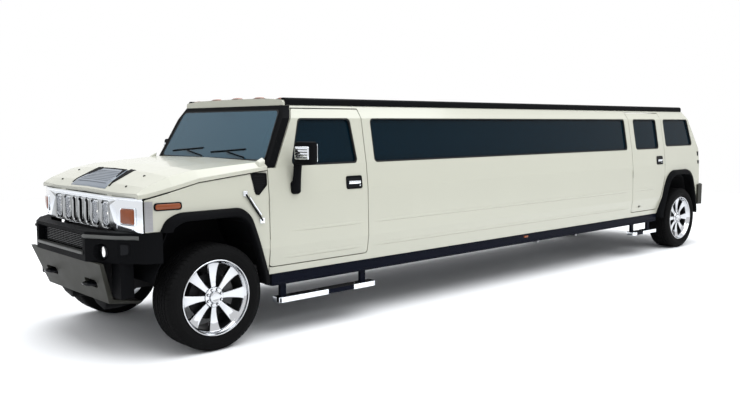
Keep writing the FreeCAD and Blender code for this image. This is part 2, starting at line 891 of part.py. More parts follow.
def make_knuckles():
    kingpin = rod("Kingpin", "z", s.kingpin_place, 0, s.kingpin_low, s.kingpin_high - s.kingpin_low,
                  s.kingpin_radius)
    spindle = rod("Spindle", "x", s.kingpin_place, 0, axle_height, s.hub_back - s.seat_gap - s.kingpin_place,
                  s.spindle_radius)
    arm = block("Steering_arm", (s.kingpin_place - s.steer_arm_width / 2, s.kingpin_place + s.steer_arm_width / 2),
                (0, s.steer_arm_length), (s.steer_arm_low, s.steer_arm_high))
    both_sides("knuckle", fuse("Knuckle", kingpin, spindle, arm))


def make_rear_axle():
    tube_half = s.hub_back - s.seat_gap
    tube = rod("Axle_tube", "x", -tube_half, s.wheelbase, axle_height, tube_half * 2, s.axle_tube)
    case = rod("Differential", "x", -s.diff_length / 2, s.wheelbase, axle_height, s.diff_length, s.diff_radius)
    nose = rod("Differential_nose", "y", 0, s.wheelbase - s.diff_nose, axle_height, s.diff_nose, s.axle_tube)
    spring = block("Spring", (s.rail_outer - s.spring_width, s.rail_outer),
                   (s.wheelbase - s.spring_half, s.wheelbase + s.spring_half),
                   (axle_height, axle_height + s.spring_depth))
    shackles = []
    for place in (s.wheelbase - s.spring_half, s.wheelbase + s.spring_half - s.spring_width):
        shackles.append(block("Shackle", (s.rail_outer - s.spring_width, s.rail_outer),
                              (place, place + s.spring_width), (axle_height + s.spring_depth / 2, s.rail_foot)))
    left = fuse("Left_spring", spring, *shackles)
    node("rear_axle", fuse("Rear_axle", tube, case, nose, left, mirrored("Right_spring", left)))


def make_exhaust():
    height = s.cross_foot - s.seat_gap - s.silencer_radius
    pipe = rod("Pipe", "y", s.exhaust_place, s.exhaust_front, height,
               s.exhaust_rear - s.exhaust_front, s.exhaust_radius)
    silencer = rod("Silencer", "y", s.exhaust_place, s.silencer_front, height,
                   s.silencer_rear - s.silencer_front, s.silencer_radius)
    node("exhaust", fuse("Exhaust", pipe, silencer))


def make_tank():
    node("fuel_tank", prism("Tank", "front", s.tank_front, s.tank_rear,
                            rectangle(-s.tank_outer, -s.rail_outer, s.tank_foot, s.tank_top, s.seat_round)))


# Wheels

TYRE_SIDES = 56
WHEEL_TURN = FreeCAD.Rotation(V(0, 1, 0), 90)


def faceted_ring(name, bore, stations):
    """A tyre with flat facets about the front axle, through (x, radius) stations; its bore clears a round rim."""
    rings = []
    for place, radius in stations:
        ring = doc.addObject("Part::RegularPolygon", name + "_station")
        ring.Polygon = TYRE_SIDES
        ring.Placement.Rotation = WHEEL_TURN
        bind(ring, Circumradius=radius)
        move_to(ring, place, 0, axle_height)
        rings.append(ring)
    outside = doc.addObject("Part::Loft", name + "_outside")
    outside.Sections = rings
    outside.Solid = True
    outside.Ruled = True
    first = stations[0][0] - s.overrun
    hole = doc.addObject("Part::Prism", name + "_bore")
    hole.Polygon = TYRE_SIDES
    hole.Placement.Rotation = WHEEL_TURN
    bind(hole, Circumradius=bore / math.cos(math.pi / TYRE_SIDES), Height=stations[-1][0] + s.overrun - first)
    move_to(hole, first, 0, axle_height)
    return cut(name, outside, hole)


def make_wheels():
    inner = s.half_track - s.tyre_width / 2
    outer = s.half_track + s.tyre_width / 2
    bead_in = inner + s.rim_inset
    bead_out = outer - s.rim_inset
    wall = s.tyre_radius - s.tyre_sidewall
    tyre = faceted_ring("Tyre", s.bead_radius,
                        [(bead_in, s.bead_radius + s.tyre_shoulder / 2), (inner, wall),
                         (inner + s.tyre_shoulder / 4, s.tyre_radius - s.tyre_shoulder),
                         (inner + s.tyre_shoulder, s.tyre_radius), (outer - s.tyre_shoulder, s.tyre_radius),
                         (outer - s.tyre_shoulder / 4, s.tyre_radius - s.tyre_shoulder), (outer, wall),
                         (bead_out, s.bead_radius + s.tyre_shoulder / 2)])
    seat = s.bead_radius - s.seat_gap
    barrel = turned("Barrel", 0, axle_height,
                    [(bead_in, seat), (bead_in, seat - s.rim_lip), (bead_in + s.rim_ramp, s.rim_barrel),
                     (bead_out - s.rim_ramp, s.rim_barrel), (bead_out, seat - s.rim_lip), (bead_out, seat)])
    hub = rod("Hub", "x", s.hub_back, 0, axle_height, s.hub_face - s.hub_back, s.hub_radius)
    cap = rod("Hub_cap", "x", s.hub_face, 0, axle_height, s.hub_cap_rise, s.hub_cap_radius)
    disc = rod("Brake_disc", "x", s.hub_back, 0, axle_height, s.disc_thickness, s.disc_radius)
    spokes = []
    reach = s.rim_barrel + s.spoke_overlap
    for turn in range(SPOKES):
        spoke = prism("Spoke", "side", s.spoke_back, s.spoke_face,
                      [(-s.spoke_hub_half - front_axle, 0), (s.spoke_hub_half - front_axle, 0),
                       (s.spoke_rim_half - front_axle, reach), (-s.spoke_rim_half - front_axle, reach)])
        spoke.Placement.Rotation = FreeCAD.Rotation(V(1, 0, 0), turn * 360 / SPOKES)
        move_to(spoke, 0, 0, axle_height)
        spokes.append(spoke)
    rim = fuse("Rim", barrel, hub, cap, disc, *spokes)
    for name, source in (("tyre", tyre), ("rim", rim)):
        rear = moved_copy(name + "_rear", source, s.wheelbase)
        both_sides_named(name, source, "front")
        both_sides_named(name, rear, "rear")


def both_sides_named(name, left, end):
    node(f"{name}_{end}_left", left)
    node(f"{name}_{end}_right", mirrored(f"{name}_{end}", left))


SPOKES = 8


# Body shell

def side_profile(inset):
    """The body's outline from the side with its raked rear face, moved in by inset at the rear."""
    return [(s.pillar_start, s.sill_height), (s.tail_place - inset, s.sill_height),
            (s.tail_place - inset, s.tail_knee), (s.tail_top_place - inset, s.gutter_height),
            (s.pillar_start, s.gutter_height)]


def make_sides():
    over = s.overrun
    envelope = common("Outer_form", prism("Outer_section", "front", s.pillar_start, s.tail_place, half_section()),
                      prism("Outer_profile", "side", 0, s.waist_half + over, side_profile(as_size(0))))
    room_section = [(0, s.sill_height - over), (s.wall_half, s.sill_height - over), *inner_line()[2::-1],
                    (s.wall_gutter_half, s.gutter_height + over), (0, s.gutter_height + over)]
    room = common("Room_form", prism("Room_section", "front", s.pillar_start - over, s.tail_place, room_section),
                  prism("Room_profile", "side", -over, s.waist_half + over,
                        [(s.pillar_start - over, s.sill_height - over),
                         (s.tail_place - s.tail_wall, s.sill_height - over),
                         (s.tail_place - s.tail_wall, s.tail_knee),
                         (s.tail_top_place - s.tail_wall, s.gutter_height),
                         (s.tail_top_place - s.tail_wall, s.gutter_height + over),
                         (s.pillar_start - over, s.gutter_height + over)]))
    middle = block("Tail_opening", (-over, s.tail_door_half), (s.pillar_start - over, s.tail_place + over),
                   (s.sill_height - over, s.gutter_height + over))
    reach = s.waist_half + over
    gap = s.panel_gap
    no_inset = as_size(0)
    openings = [prism("Front_door_opening", "side", 0, reach, front_door_outline(gap, no_inset)),
                prism("Rear_door_opening", "side", 0, reach, rear_door_outline(gap, no_inset)),
                prism("Long_window", "side", 0, reach, long_glass_outline()),
                prism("Quarter_window", "side", 0, reach, quarter_glass_outline()),
                prism("Rear_arch", "side", 0, reach, arch_outline(s.wheelbase, REAR_ARCH_SHARES, as_size(0)))]
    rake = prism("Screen_rake", "side", 0, reach,
                 [(s.pillar_start - over, s.fender_mid_height), (s.front_door_front - gap, s.fender_mid_height),
                  (s.front_door_front - gap, s.belt_height), (s.pillar_foot - gap, s.belt_height),
                  (s.pillar_top - gap, s.gutter_height), (s.pillar_top - gap, s.gutter_height + over),
                  (s.pillar_start - over, s.gutter_height + over)])
    liner = rod("Liner_clearance", "x", 0, 0, axle_height, reach, s.liner_radius + s.liner_wall)
    fender_seat = block("Fender_seat", (s.fender_inner, reach), (s.pillar_start - over, s.front_door_front),
                        (s.sill_height - over, s.belt_height))
    side = cut("Body_side", envelope, room, middle, *openings, rake, liner, fender_seat)
    both_sides("body_side", side)


def make_floor():
    """The cabin floor with the rear wheel houses, whose tunnels follow the wheel arches."""
    over = s.overrun
    wall = s.liner_wall
    floor = block("Floor", (-s.wall_half, s.wall_half),
                  (s.bulkhead_front + s.bulkhead_thickness, s.tail_place - s.tail_wall), (s.rail_top, s.floor_top))
    tunnel = prism("Rear_tunnel", "side", s.rear_liner_inner, s.wall_half,
                   arch_outline(s.wheelbase, REAR_ARCH_SHARES, wall))
    above = block("Over_the_frame", (0, s.waist_half), (s.wheelbase - s.arch_half * 2, s.wheelbase + s.arch_half * 2),
                  (s.rail_top, axle_height + s.arch_height + s.flare_width))
    house = common("Wheel_house", tunnel, above)
    space = prism("Rear_wheel_space", "side", s.rear_liner_inner + wall, s.wall_half + over,
                  arch_outline(s.wheelbase, REAR_ARCH_SHARES, as_size(0)))
    node("floor_pan", cut("Floor_pan", fuse("Floor_and_houses", floor, house, mirrored("House_right", house)),
                          space, mirrored("Space_right", space)))


def make_sills():
    """Dark sill covers, with the steps under the doors hung on them."""
    cover = block("Sill_cover", (s.sill_cover_inner, s.sill_half), (s.sill_cover_front, s.sill_cover_rear),
                  (s.sill_cover_foot, s.sill_height))
    parts = [cover]
    for front, rear in ((s.step_front, s.step_rear), (s.rear_step_front, s.rear_step_rear)):
        parts.append(prism("Step", "top", s.step_foot, s.step_top,
                           rectangle(s.step_inner, s.step_outer, front, rear, s.step_round)))
        for place in (front + s.step_leg, rear - s.step_leg * 2):
            parts.append(block("Step_leg", (s.step_inner, s.step_inner + s.step_leg / 2),
                               (place, place + s.step_leg), (s.step_foot, s.sill_cover_foot)))
    pair("running_boards", fuse("Sill_and_steps", *parts))


def screen_place(height):
    """How far back the windscreen frame's front face is at a height."""
    slope = (s.pillar_top - s.pillar_foot) / (s.gutter_height - s.belt_height)
    return s.pillar_foot - s.panel_gap - s.pillar_front + slope * (height - s.belt_height)


def make_bulkhead():
    """Firewall and cowl in one piece with the dashboard."""
    rear = s.bulkhead_front + s.bulkhead_thickness
    firewall = block("Firewall", (-s.wall_half, s.wall_half), (s.bulkhead_front, rear), (s.rail_top, s.belt_height))
    cowl = block("Cowl", (-s.wall_half, s.wall_half), (s.front_door_front - s.panel_gap, s.pillar_foot - s.panel_gap),
                 (s.cowl_foot, s.belt_height))
    side = s.wall_half - s.dash_side_gap
    dash = prism("Dash", "side", -side, side,
                 [(rear - s.bulkhead_thickness / 2, s.dash_foot), (s.dash_rear - s.seat_round, s.dash_foot),
                  (s.dash_rear, s.dash_lip, s.seat_round), (s.dash_rear - s.seat_round * 2, s.dash_top, s.seat_round),
                  (rear - s.bulkhead_thickness / 2, s.dash_top)])
    node("bulkhead", fuse("Bulkhead", firewall, cowl, dash))


def make_windscreen_frame():
    half = s.belt_half
    thick = s.pillar_front
    slab = prism("Screen_slab", "side", -half, half,
                 [(screen_place(s.belt_height), s.belt_height), (screen_place(s.belt_height) + thick, s.belt_height),
                  (screen_place(s.gutter_height) + thick, s.gutter_height),
                  (screen_place(s.gutter_height), s.gutter_height)])
    shape = prism("Screen_shape", "front", s.front_door_front, s.pillar_top,
                  [(-s.belt_half, s.belt_height), (s.belt_half, s.belt_height), (s.glass_half, s.glass_height),
                   (s.gutter_half, s.gutter_height), (-s.gutter_half, s.gutter_height),
                   (-s.glass_half, s.glass_height)])
    opening = prism("Screen_opening", "front", s.front_door_front - s.overrun, s.pillar_top + s.overrun,
                    trapezium(s.screen_foot_half, s.screen_foot, s.screen_top_half, s.screen_top))
    node("windscreen_frame", cut("Screen_frame", common("Screen_form", slab, shape), opening))
    inset = thick / 3
    foot = screen_place(s.screen_foot) + inset
    top = screen_place(s.screen_top) + inset
    pane = prism("Screen_pane", "side", -half, half,
                 [(foot, s.screen_foot), (foot + s.glass_thickness, s.screen_foot),
                  (top + s.glass_thickness, s.screen_top), (top, s.screen_top)])
    glass_shape = prism("Screen_glass_shape", "front", s.front_door_front, s.pillar_top + s.overrun,
                        trapezium(s.screen_foot_half, s.screen_foot, s.screen_top_half, s.screen_top))
    left = []
    for name, outline in (("Long_glass", long_glass_outline()), ("Quarter_glass", quarter_glass_outline())):
        left.append(side_pane(name, outline))
    node("fixed_glass", group("Fixed_glass", common("Windscreen", pane, glass_shape), *left,
                              *[mirrored(item.Name + "_right", item) for item in left]))


def side_pane(name, outline):
    """A pane in the slanted plane of the side windows, with the outline of its window."""
    sheet_glass = prism(name + "_sheet", "front", s.pillar_start, s.tail_place, glass_section())
    return common(name, sheet_glass, prism(name + "_outline", "side", 0, s.waist_half, outline))


def make_roof():
    roof = doc.addObject("PartDesign::Body", "Roof")
    pad(roof, "front", s.roof_front, s.roof_rear,
        [(-s.gutter_half, s.gutter_height), (s.gutter_half, s.gutter_height),
         (s.gutter_half, s.roof_side_height, s.roof_nose),
         (s.roof_crown_half, s.roof_crown_height, s.roof_crown_half), (0, s.roof_top_height),
         (-s.roof_crown_half, s.roof_crown_height, s.roof_crown_half),
         (-s.gutter_half, s.roof_side_height, s.roof_nose)])
    node("roof", roof)
    return roof


def make_fenders():
    over = s.overrun
    rear = s.front_door_front - s.panel_gap
    layer = prism("Fender_layer", "top", s.sill_height, s.belt_height,
                  [(s.nose_inner, s.fender_front), (s.waist_half, s.fender_front), (s.waist_half, rear),
                   (s.fender_inner, rear), (s.fender_inner, s.taper_start), (s.nose_inner, s.taper_start)])
    panel = common("Fender_form", common("Fender_outside", layer, nose_form("Fender_nose")),
                   prism("Fender_profile", "side", 0, s.waist_half + over,
                         [(s.fender_front, s.fender_foot), (0, s.fender_foot), (0, s.sill_height),
                          (rear, s.sill_height), (rear, s.fender_rear_height),
                          (s.fender_mid_place, s.fender_mid_height),
                          (s.fender_front, s.fender_nose_height)]))
    wall = s.liner_wall
    tunnel = fuse("Liner_outside",
                  rod("Liner_round", "x", s.liner_inner, 0, axle_height, s.fender_inner - s.liner_inner,
                      s.liner_radius + wall),
                  prism("Liner_arch", "side", s.liner_inner, s.fender_inner,
                        arch_outline(as_size(0), FRONT_ARCH_SHARES, wall)))
    above = block("Over_the_suspension", (0, s.waist_half), (s.fender_front, rear),
                  (s.liner_foot, axle_height + s.arch_height + s.flare_width))
    space = fuse("Front_wheel_space",
                 rod("Space_round", "x", s.liner_inner + wall, 0, axle_height, s.fender_inner - s.liner_inner - wall,
                     s.liner_radius),
                 prism("Space_arch", "side", s.liner_inner + wall, s.waist_half + over,
                       arch_outline(as_size(0), FRONT_ARCH_SHARES, as_size(0))))
    pair("front_fenders", cut("Fender", fuse("Fender_and_liner", panel, common("Liner", tunnel, above)), space))


def make_flares():
    form = nose_form("Flare_seat")
    flares = []
    for name, place, shares in (("Front_flare", as_size(0), FRONT_ARCH_SHARES),
                                ("Rear_flare", s.wheelbase, REAR_ARCH_SHARES)):
        outside = prism(name + "_outside", "side", s.sill_half, s.flare_out,
                        arch_outline(place, shares, s.flare_width))
        inside = prism(name + "_inside", "side", 0, s.flare_out + s.overrun,
                       arch_outline(place, shares, as_size(0)))
        tools = [form, inside]
        if name == "Front_flare":
            tools.append(block("Over_the_bumper", (0, s.flare_out + s.overrun), (-s.arch_half * 2, 0),
                               (0, s.bumper_top)))
        flares.append(cut(name, outside, *tools))
    node("wheel_arch_flares", group("Flares", *flares, *[mirrored(item.Name + "_right", item) for item in flares]))


def make_front_bumper():
    flat = s.bumper_flat_half
    side = s.waist_half
    left = [(flat, -s.front_overhang), (s.bumper_bend_half, s.bumper_bend_place),
            (s.bumper_knee_half, s.bumper_knee_place), (s.bumper_corner_half, s.bumper_corner_place),
            (side, s.bumper_wing_end), (s.bumper_wing_inner, s.bumper_wing_end),
            (s.bumper_corner_inner, s.bumper_corner_place), (s.rail_outer, s.bumper_back)]
    right = [(-point[0], point[1]) for point in left[::-1]]
    body = doc.addObject("PartDesign::Body", "Bumper")
    pad(body, "top", s.bumper_foot, s.bumper_top, left + right)
    pocket(body, "front", -s.front_overhang - s.overrun, -s.front_overhang + s.intake_depth,
           rectangle(-s.intake_half, s.intake_half, s.intake_foot, s.intake_top, s.bumper_edge))
    pocket(body, "front", -s.front_overhang - s.overrun, s.fog_back,
           Circle(s.fog_place, s.fog_height, s.fog_recess), Circle(-s.fog_place, s.fog_height, s.fog_recess))
    corner = block("Lower_corner", (s.bumper_drop_inner, s.bumper_drop_outer),
                   (s.bumper_drop_front, s.bumper_drop_rear), (s.bumper_drop_foot, s.bumper_foot))
    node("front_bumper", fuse("Bumper_and_corners", body, corner, mirrored("Lower_corner_right", corner)))


def make_skid_plate():
    thick = s.skid_thickness
    slab = prism("Skid_slab", "side", -s.skid_half, s.skid_half,
                 [(s.skid_front, s.bumper_foot), (s.skid_tip_place, s.skid_foot), (s.tray_rear, s.tray_foot),
                  (s.tray_rear, s.tray_foot + thick), (s.skid_tip_place + thick, s.skid_foot + thick),
                  (s.skid_front + thick, s.bumper_foot)])
    shape = prism("Skid_shape", "front", s.skid_front - s.overrun, s.tray_rear + s.overrun,
                  [(-s.tray_half, s.tray_foot), (s.tray_half, s.tray_foot), (s.skid_tip_half, s.skid_foot),
                   (s.skid_half, s.bumper_foot), (-s.skid_half, s.bumper_foot), (-s.skid_tip_half, s.skid_foot)])
    tow = prism("Tow_openings", "front", s.skid_front - s.overrun, s.skid_tip_place + s.overrun,
                rectangle(s.tow_inner, s.tow_outer, s.tow_low, s.tow_high, s.bumper_edge),
                rectangle(-s.tow_outer, -s.tow_inner, s.tow_low, s.tow_high, s.bumper_edge))
    node("skid_plate", cut("Skid_plate", common("Skid_form", slab, shape), tow))


# The slots of the grille's left half, as shares of their half width: one beside the middle, and the lamps' two
SLOT_SHARES = [(0.16, 0.311), (0.381, 0.638), (0.74, 0.996)]
MIDDLE_SLOT_SHARE = 0.085
SLOT_CORNER_SHARE = 0.05660378


def make_grille():
    half = s.grille_face_half
    side = s.grille_side
    body = doc.addObject("PartDesign::Body", "Grille")
    pad(body, "top", s.bumper_top, s.grille_top,
        [(half, s.grille_face), (side, s.grille_corner_place), (side, s.fender_front), (s.nose_inner, s.fender_front),
         (half, s.grille_back), (-half, s.grille_back), (-s.nose_inner, s.fender_front), (-side, s.fender_front),
         (-side, s.grille_corner_place), (-half, s.grille_face)])
    corner = s.slot_half * SLOT_CORNER_SHARE
    edges = [(-MIDDLE_SLOT_SHARE, MIDDLE_SLOT_SHARE)]
    for inner, outer in SLOT_SHARES:
        edges += [(inner, outer), (-outer, -inner)]
    pocket(body, "front", s.grille_face - s.overrun, s.grille_back + s.overrun,
           *[rectangle(s.slot_half * left, s.slot_half * right, s.slot_foot, s.slot_top, corner)
             for left, right in edges])
    node("grille", body)


def make_lamps():
    first = SLOT_SHARES[1][0]
    bucket = block("Lamp_bucket", (s.slot_half * first, s.slot_half), (s.grille_back, s.lamp_back),
                   (s.slot_foot, s.slot_top))
    lamps = [bucket]
    for inner, outer in SLOT_SHARES[1:]:
        middle = s.slot_half * (inner + outer) / 2
        lens = rod("Lens", "y", middle, s.lamp_face, s.lamp_height, s.grille_back - s.lamp_face, s.lamp_radius)
        room = block("Slot_room", (s.slot_half * inner + s.seat_gap, s.slot_half * outer - s.seat_gap),
                     (s.lamp_face, s.grille_back), (s.slot_foot, s.slot_top))
        lamps.append(common("Head_lamp", lens, room))
    headlamp = fuse("Headlamp", *lamps)
    fog = rod("Fog_lamp", "y", s.fog_place, s.fog_back - s.fog_length, s.fog_height, s.fog_length, s.fog_radius)
    node("headlamps", group("Headlamps", headlamp, mirrored("Headlamp_right", headlamp), fog,
                            mirrored("Fog_lamp_right", fog)))

    slope = (s.grille_corner_place - s.grille_face) / (s.grille_side - s.grille_face_half)
    inner_face = s.grille_face + slope * (s.turn_inner - s.grille_face_half)
    outer_face = s.grille_face + slope * (s.turn_outer - s.grille_face_half)
    turn = prism("Turn_lamp", "top", s.turn_foot, s.turn_top,
                 [(s.turn_inner, inner_face), (s.turn_inner, inner_face - s.turn_depth),
                  (s.turn_outer, outer_face - s.turn_depth), (s.turn_outer, outer_face)])
    front_half = nose_half_at(s.side_lamp_front)
    marker = cut("Side_marker", prism("Side_lamp", "top", s.side_lamp_foot, s.side_lamp_top,
                                      [(front_half - s.side_lamp_rise, s.side_lamp_front),
                                       (front_half + s.side_lamp_rise, s.side_lamp_front),
                                       (nose_half_at(s.hood_knee_place) + s.side_lamp_rise, s.hood_knee_place),
                                       (s.shoulder_half + s.side_lamp_rise, s.side_lamp_rear),
                                       (s.shoulder_half - s.side_lamp_rise, s.side_lamp_rear)]),
                 nose_form("Lamp_seat"))
    return [turn, mirrored("Turn_lamp_right", turn), marker, mirrored("Side_marker_right", marker)]


ROOF_LAMPS = 5


def make_roof_lamps(roof, low_lamps):
    lamps = []
    spread = s.gutter_half - s.roof_lamp_margin
    for i in range(ROOF_LAMPS):
        centre = spread * (i * 2 / (ROOF_LAMPS - 1) - 1)
        body = block("Roof_lamp_block", (centre - s.roof_lamp_width / 2, centre + s.roof_lamp_width / 2),
                     (s.roof_lamp_place, s.roof_lamp_place + s.roof_lamp_length),
                     (s.gutter_height + s.roof_nose, s.roof_top_height + s.roof_lamp_rise))
        lamps.append(cut("Roof_lamp", body, roof))
    node("amber_lamps", group("Amber_lamps", *low_lamps, *lamps))
    tail = block("Tail_lamp", (s.tail_lamp_half - s.tail_lamp_width / 2, s.tail_lamp_half + s.tail_lamp_width / 2),
                 (s.tail_place, s.tail_place + s.tail_lamp_rise), (s.tail_lamp_low, s.tail_lamp_high))
    pair("tail_lamps", tail)


def make_rear():
    inner = s.tail_place - s.tail_wall
    node("rear_panel", block("Rear_panel", (-s.tail_door_half, s.tail_door_half), (inner, s.tail_place),
                             (s.rail_top, s.tail_door_foot - s.panel_gap)))
    left = [(s.rear_bumper_half, s.wheelbase + s.rear_overhang), (s.rear_bumper_bend_half, s.rear_bumper_bend),
            (s.rear_bumper_out, s.rear_bumper_side), (s.rear_bumper_out, s.rear_bumper_wrap),
            (s.rear_bumper_out - s.rear_bumper_wall, s.rear_bumper_wrap),
            (s.rear_bumper_out - s.rear_bumper_wall, s.tail_place)]
    right = [(-point[0], point[1]) for point in left[::-1]]
    node("rear_bumper", prism("Rear_bumper", "top", s.rear_bumper_low, s.rear_bumper_top, left + right))


def tail_face(height):
    """How far back the raked part of the tail is at a height."""
    slope = (s.tail_place - s.tail_top_place) / (s.gutter_height - s.tail_knee)
    return s.tail_place - slope * (height - s.tail_knee)


def make_tailgate():
    top = s.gutter_height - s.tail_top_gap
    half = s.tail_door_half - s.panel_gap
    wall = s.tail_wall
    gate = doc.addObject("PartDesign::Body", "Tailgate")
    pad(gate, "side", -half, half,
        [(s.tail_place, s.tail_door_foot), (s.tail_place, s.tail_knee), (tail_face(top), top),
         (tail_face(top) - wall, top), (s.tail_place - wall, s.tail_knee), (s.tail_place - wall, s.tail_door_foot)])
    window = trapezium(s.tail_glass_half, s.tail_glass_foot, s.tail_glass_half - s.glass_round, s.tail_glass_top)
    pocket(gate, "front", s.tail_top_place - wall * 2, s.tail_place + s.overrun, window)
    hinge = rod("Tail_hinge", "x", s.tail_hinge_half - s.tail_hinge_length / 2, tail_face(top) - s.tail_hinge_inset,
                s.gutter_height - s.seat_gap - s.tail_hinge_radius, s.tail_hinge_length, s.tail_hinge_radius)
    node("tailgate", fuse("Tailgate_and_hinges", gate, hinge, mirrored("Tail_hinge_right", hinge)))
    inset = wall / 3
    foot = tail_face(s.tail_glass_foot) - inset
    head = tail_face(s.tail_glass_top) - inset
    pane = prism("Tail_pane", "side", -half, half,
                 [(foot, s.tail_glass_foot), (head, s.tail_glass_top), (head - s.glass_thickness, s.tail_glass_top),
                  (foot - s.glass_thickness, s.tail_glass_foot)])
    shape = prism("Tail_glass_shape", "front", s.tail_top_place - wall * 2, s.tail_place, window)
    node("tailgate_glass", common("Tailgate_glass", pane, shape))


def make_door(name, outline, window, front, rear):
    """A door: its skin out to the shut line, its lining inset so that it swings clear, and its pane."""
    nothing = as_size(0)
    reach = s.waist_half + s.overrun
    skin = common(name + "_skin", prism(name + "_skin_section", "front", front, rear, skin_section()),
                  prism(name + "_skin_outline", "side", 0, reach, outline(nothing, nothing)))
    lining = common(name + "_lining", prism(name + "_lining_section", "front", front, rear, lining_section()),
                    prism(name + "_lining_outline", "side", 0, reach, outline(nothing, s.door_inner_step)))
    radius = s.panel_gap / 2
    hinges = []
    for height in (s.hinge_low, s.hinge_high):
        pin = front - radius + s.seat_gap
        hinges.append(rod(name + "_hinge", "z", s.waist_half, pin, height, s.hinge_length, radius))
        hinges.append(block(name + "_hinge_leaf", (s.waist_half - s.hinge_leaf, s.waist_half),
                            (pin, front + s.hinge_leaf), (height, height + s.hinge_length)))
    door = cut(name, fuse(name + "_solid", skin, lining, *hinges), prism(name + "_window", "side", 0, reach, window))
    return door, side_pane(name + "_pane", window)


def make_doors():
    front, front_glass = make_door("Front_door", front_door_outline, front_glass_outline(), s.front_door_front,
                                   s.front_door_rear)
    rear, rear_glass = make_door("Rear_door", rear_door_outline, rear_glass_outline(), s.rear_door_front,
                                 s.rear_door_rear)
    for name, end, thing in (("door", "front", front), ("door", "rear", rear), ("door_glass", "front", front_glass),
                             ("door_glass", "rear", rear_glass)):
        both_sides_named(name, thing, end)


def make_mirrors():
    arm_foot = block("Mirror_foot", (s.shoulder_half, s.shoulder_half + s.mirror_arm),
                     (s.mirror_place - s.mirror_arm, s.mirror_place + s.mirror_arm),
                     (s.mirror_foot_low, s.mirror_foot_high))
    arm = prism("Mirror_arm", "front", s.mirror_place - s.mirror_arm / 2, s.mirror_place + s.mirror_arm / 2,
                [(s.shoulder_half, s.mirror_foot_low + s.mirror_arm),
                 (s.shoulder_half + s.mirror_arm, s.mirror_foot_low),
                 (s.mirror_inner + s.mirror_arm * 2, s.mirror_low + s.mirror_arm),
                 (s.mirror_inner + s.mirror_arm, s.mirror_low + s.mirror_arm)])
    head = prism("Mirror_head", "top", s.mirror_low, s.mirror_high,
                 [(s.mirror_inner, s.mirror_place - s.mirror_depth / 2, s.mirror_round),
                  (s.mirror_outer, s.mirror_place - s.mirror_depth / 3, s.mirror_round),
                  (s.mirror_outer, s.mirror_place + s.mirror_depth / 2),
                  (s.mirror_inner, s.mirror_place + s.mirror_depth / 2)])
    form = prism("Door_form", "front", s.front_door_front, s.front_door_rear, half_section())
    both_sides("mirror", cut("Mirror", fuse("Mirror_solid", arm_foot, arm, head), form))


# Hood

def make_hood():
    thick = s.hood_thickness
    gap = s.panel_gap
    slope_front = (s.fender_mid_height - s.fender_nose_height) / (s.fender_mid_place - s.fender_front)
    nose = s.fender_nose_height + gap
    knee_edge = nose + slope_front * (s.hood_knee_place - s.fender_front)
    step_edge = nose + slope_front * (s.hood_step_place - s.fender_front)
    inset = s.hood_edge_inset
    stations = [(s.hood_front, nose_half_at(s.hood_front) - inset, s.hood_front_height, nose),
                (s.hood_step_place, nose_half_at(s.hood_step_place) - inset, s.hood_step_height, step_edge),
                (s.hood_knee_place, nose_half_at(s.hood_knee_place) - inset, s.hood_knee_height, knee_edge),
                (s.fender_mid_place, s.hood_edge_half, s.hood_mid_height, s.fender_mid_height + gap),
                (s.hood_rear, s.hood_edge_half, s.hood_rear_height, s.fender_rear_height + gap)]
    body = doc.addObject("PartDesign::Body", "Hood")
    drawings = []
    for place, half, centre, edge in stations:
        deck = centre - s.hood_deck_fall
        side = (centre * 2 + edge) / 3 + thick / 2
        top = [(half, edge + thick), (s.hood_side_half, side), (s.hood_deck_half, deck)]
        under = [(s.hood_deck_half - thick, deck - thick), (s.hood_side_half - thick, side - thick),
                 (half, edge)]
        left = top + [(0, centre)]
        outline = left + [(-point[0], point[1]) for point in top[::-1]]
        outline += [(-point[0], point[1]) for point in under[::-1]] + [(0, centre - thick)] + under
        drawings.append(sketch(body, "front", place, [outline]))
    loft = body.newObject("PartDesign::AdditiveLoft", "Loft")
    loft.Profile = drawings[0]
    loft.Sections = drawings[1:]
    loft.Ruled = True
    radius = s.hood_hinge_radius
    hinge = rod("Hood_hinge", "x", s.hood_hinge_half - s.hood_hinge_length / 2, s.hood_front + radius / 2,
                s.grille_top + s.seat_gap + radius, s.hood_hinge_length, radius)
    node("hood", fuse("Hood_and_hinges", body, hinge, mirrored("Hood_hinge_right", hinge)))


# Cabin

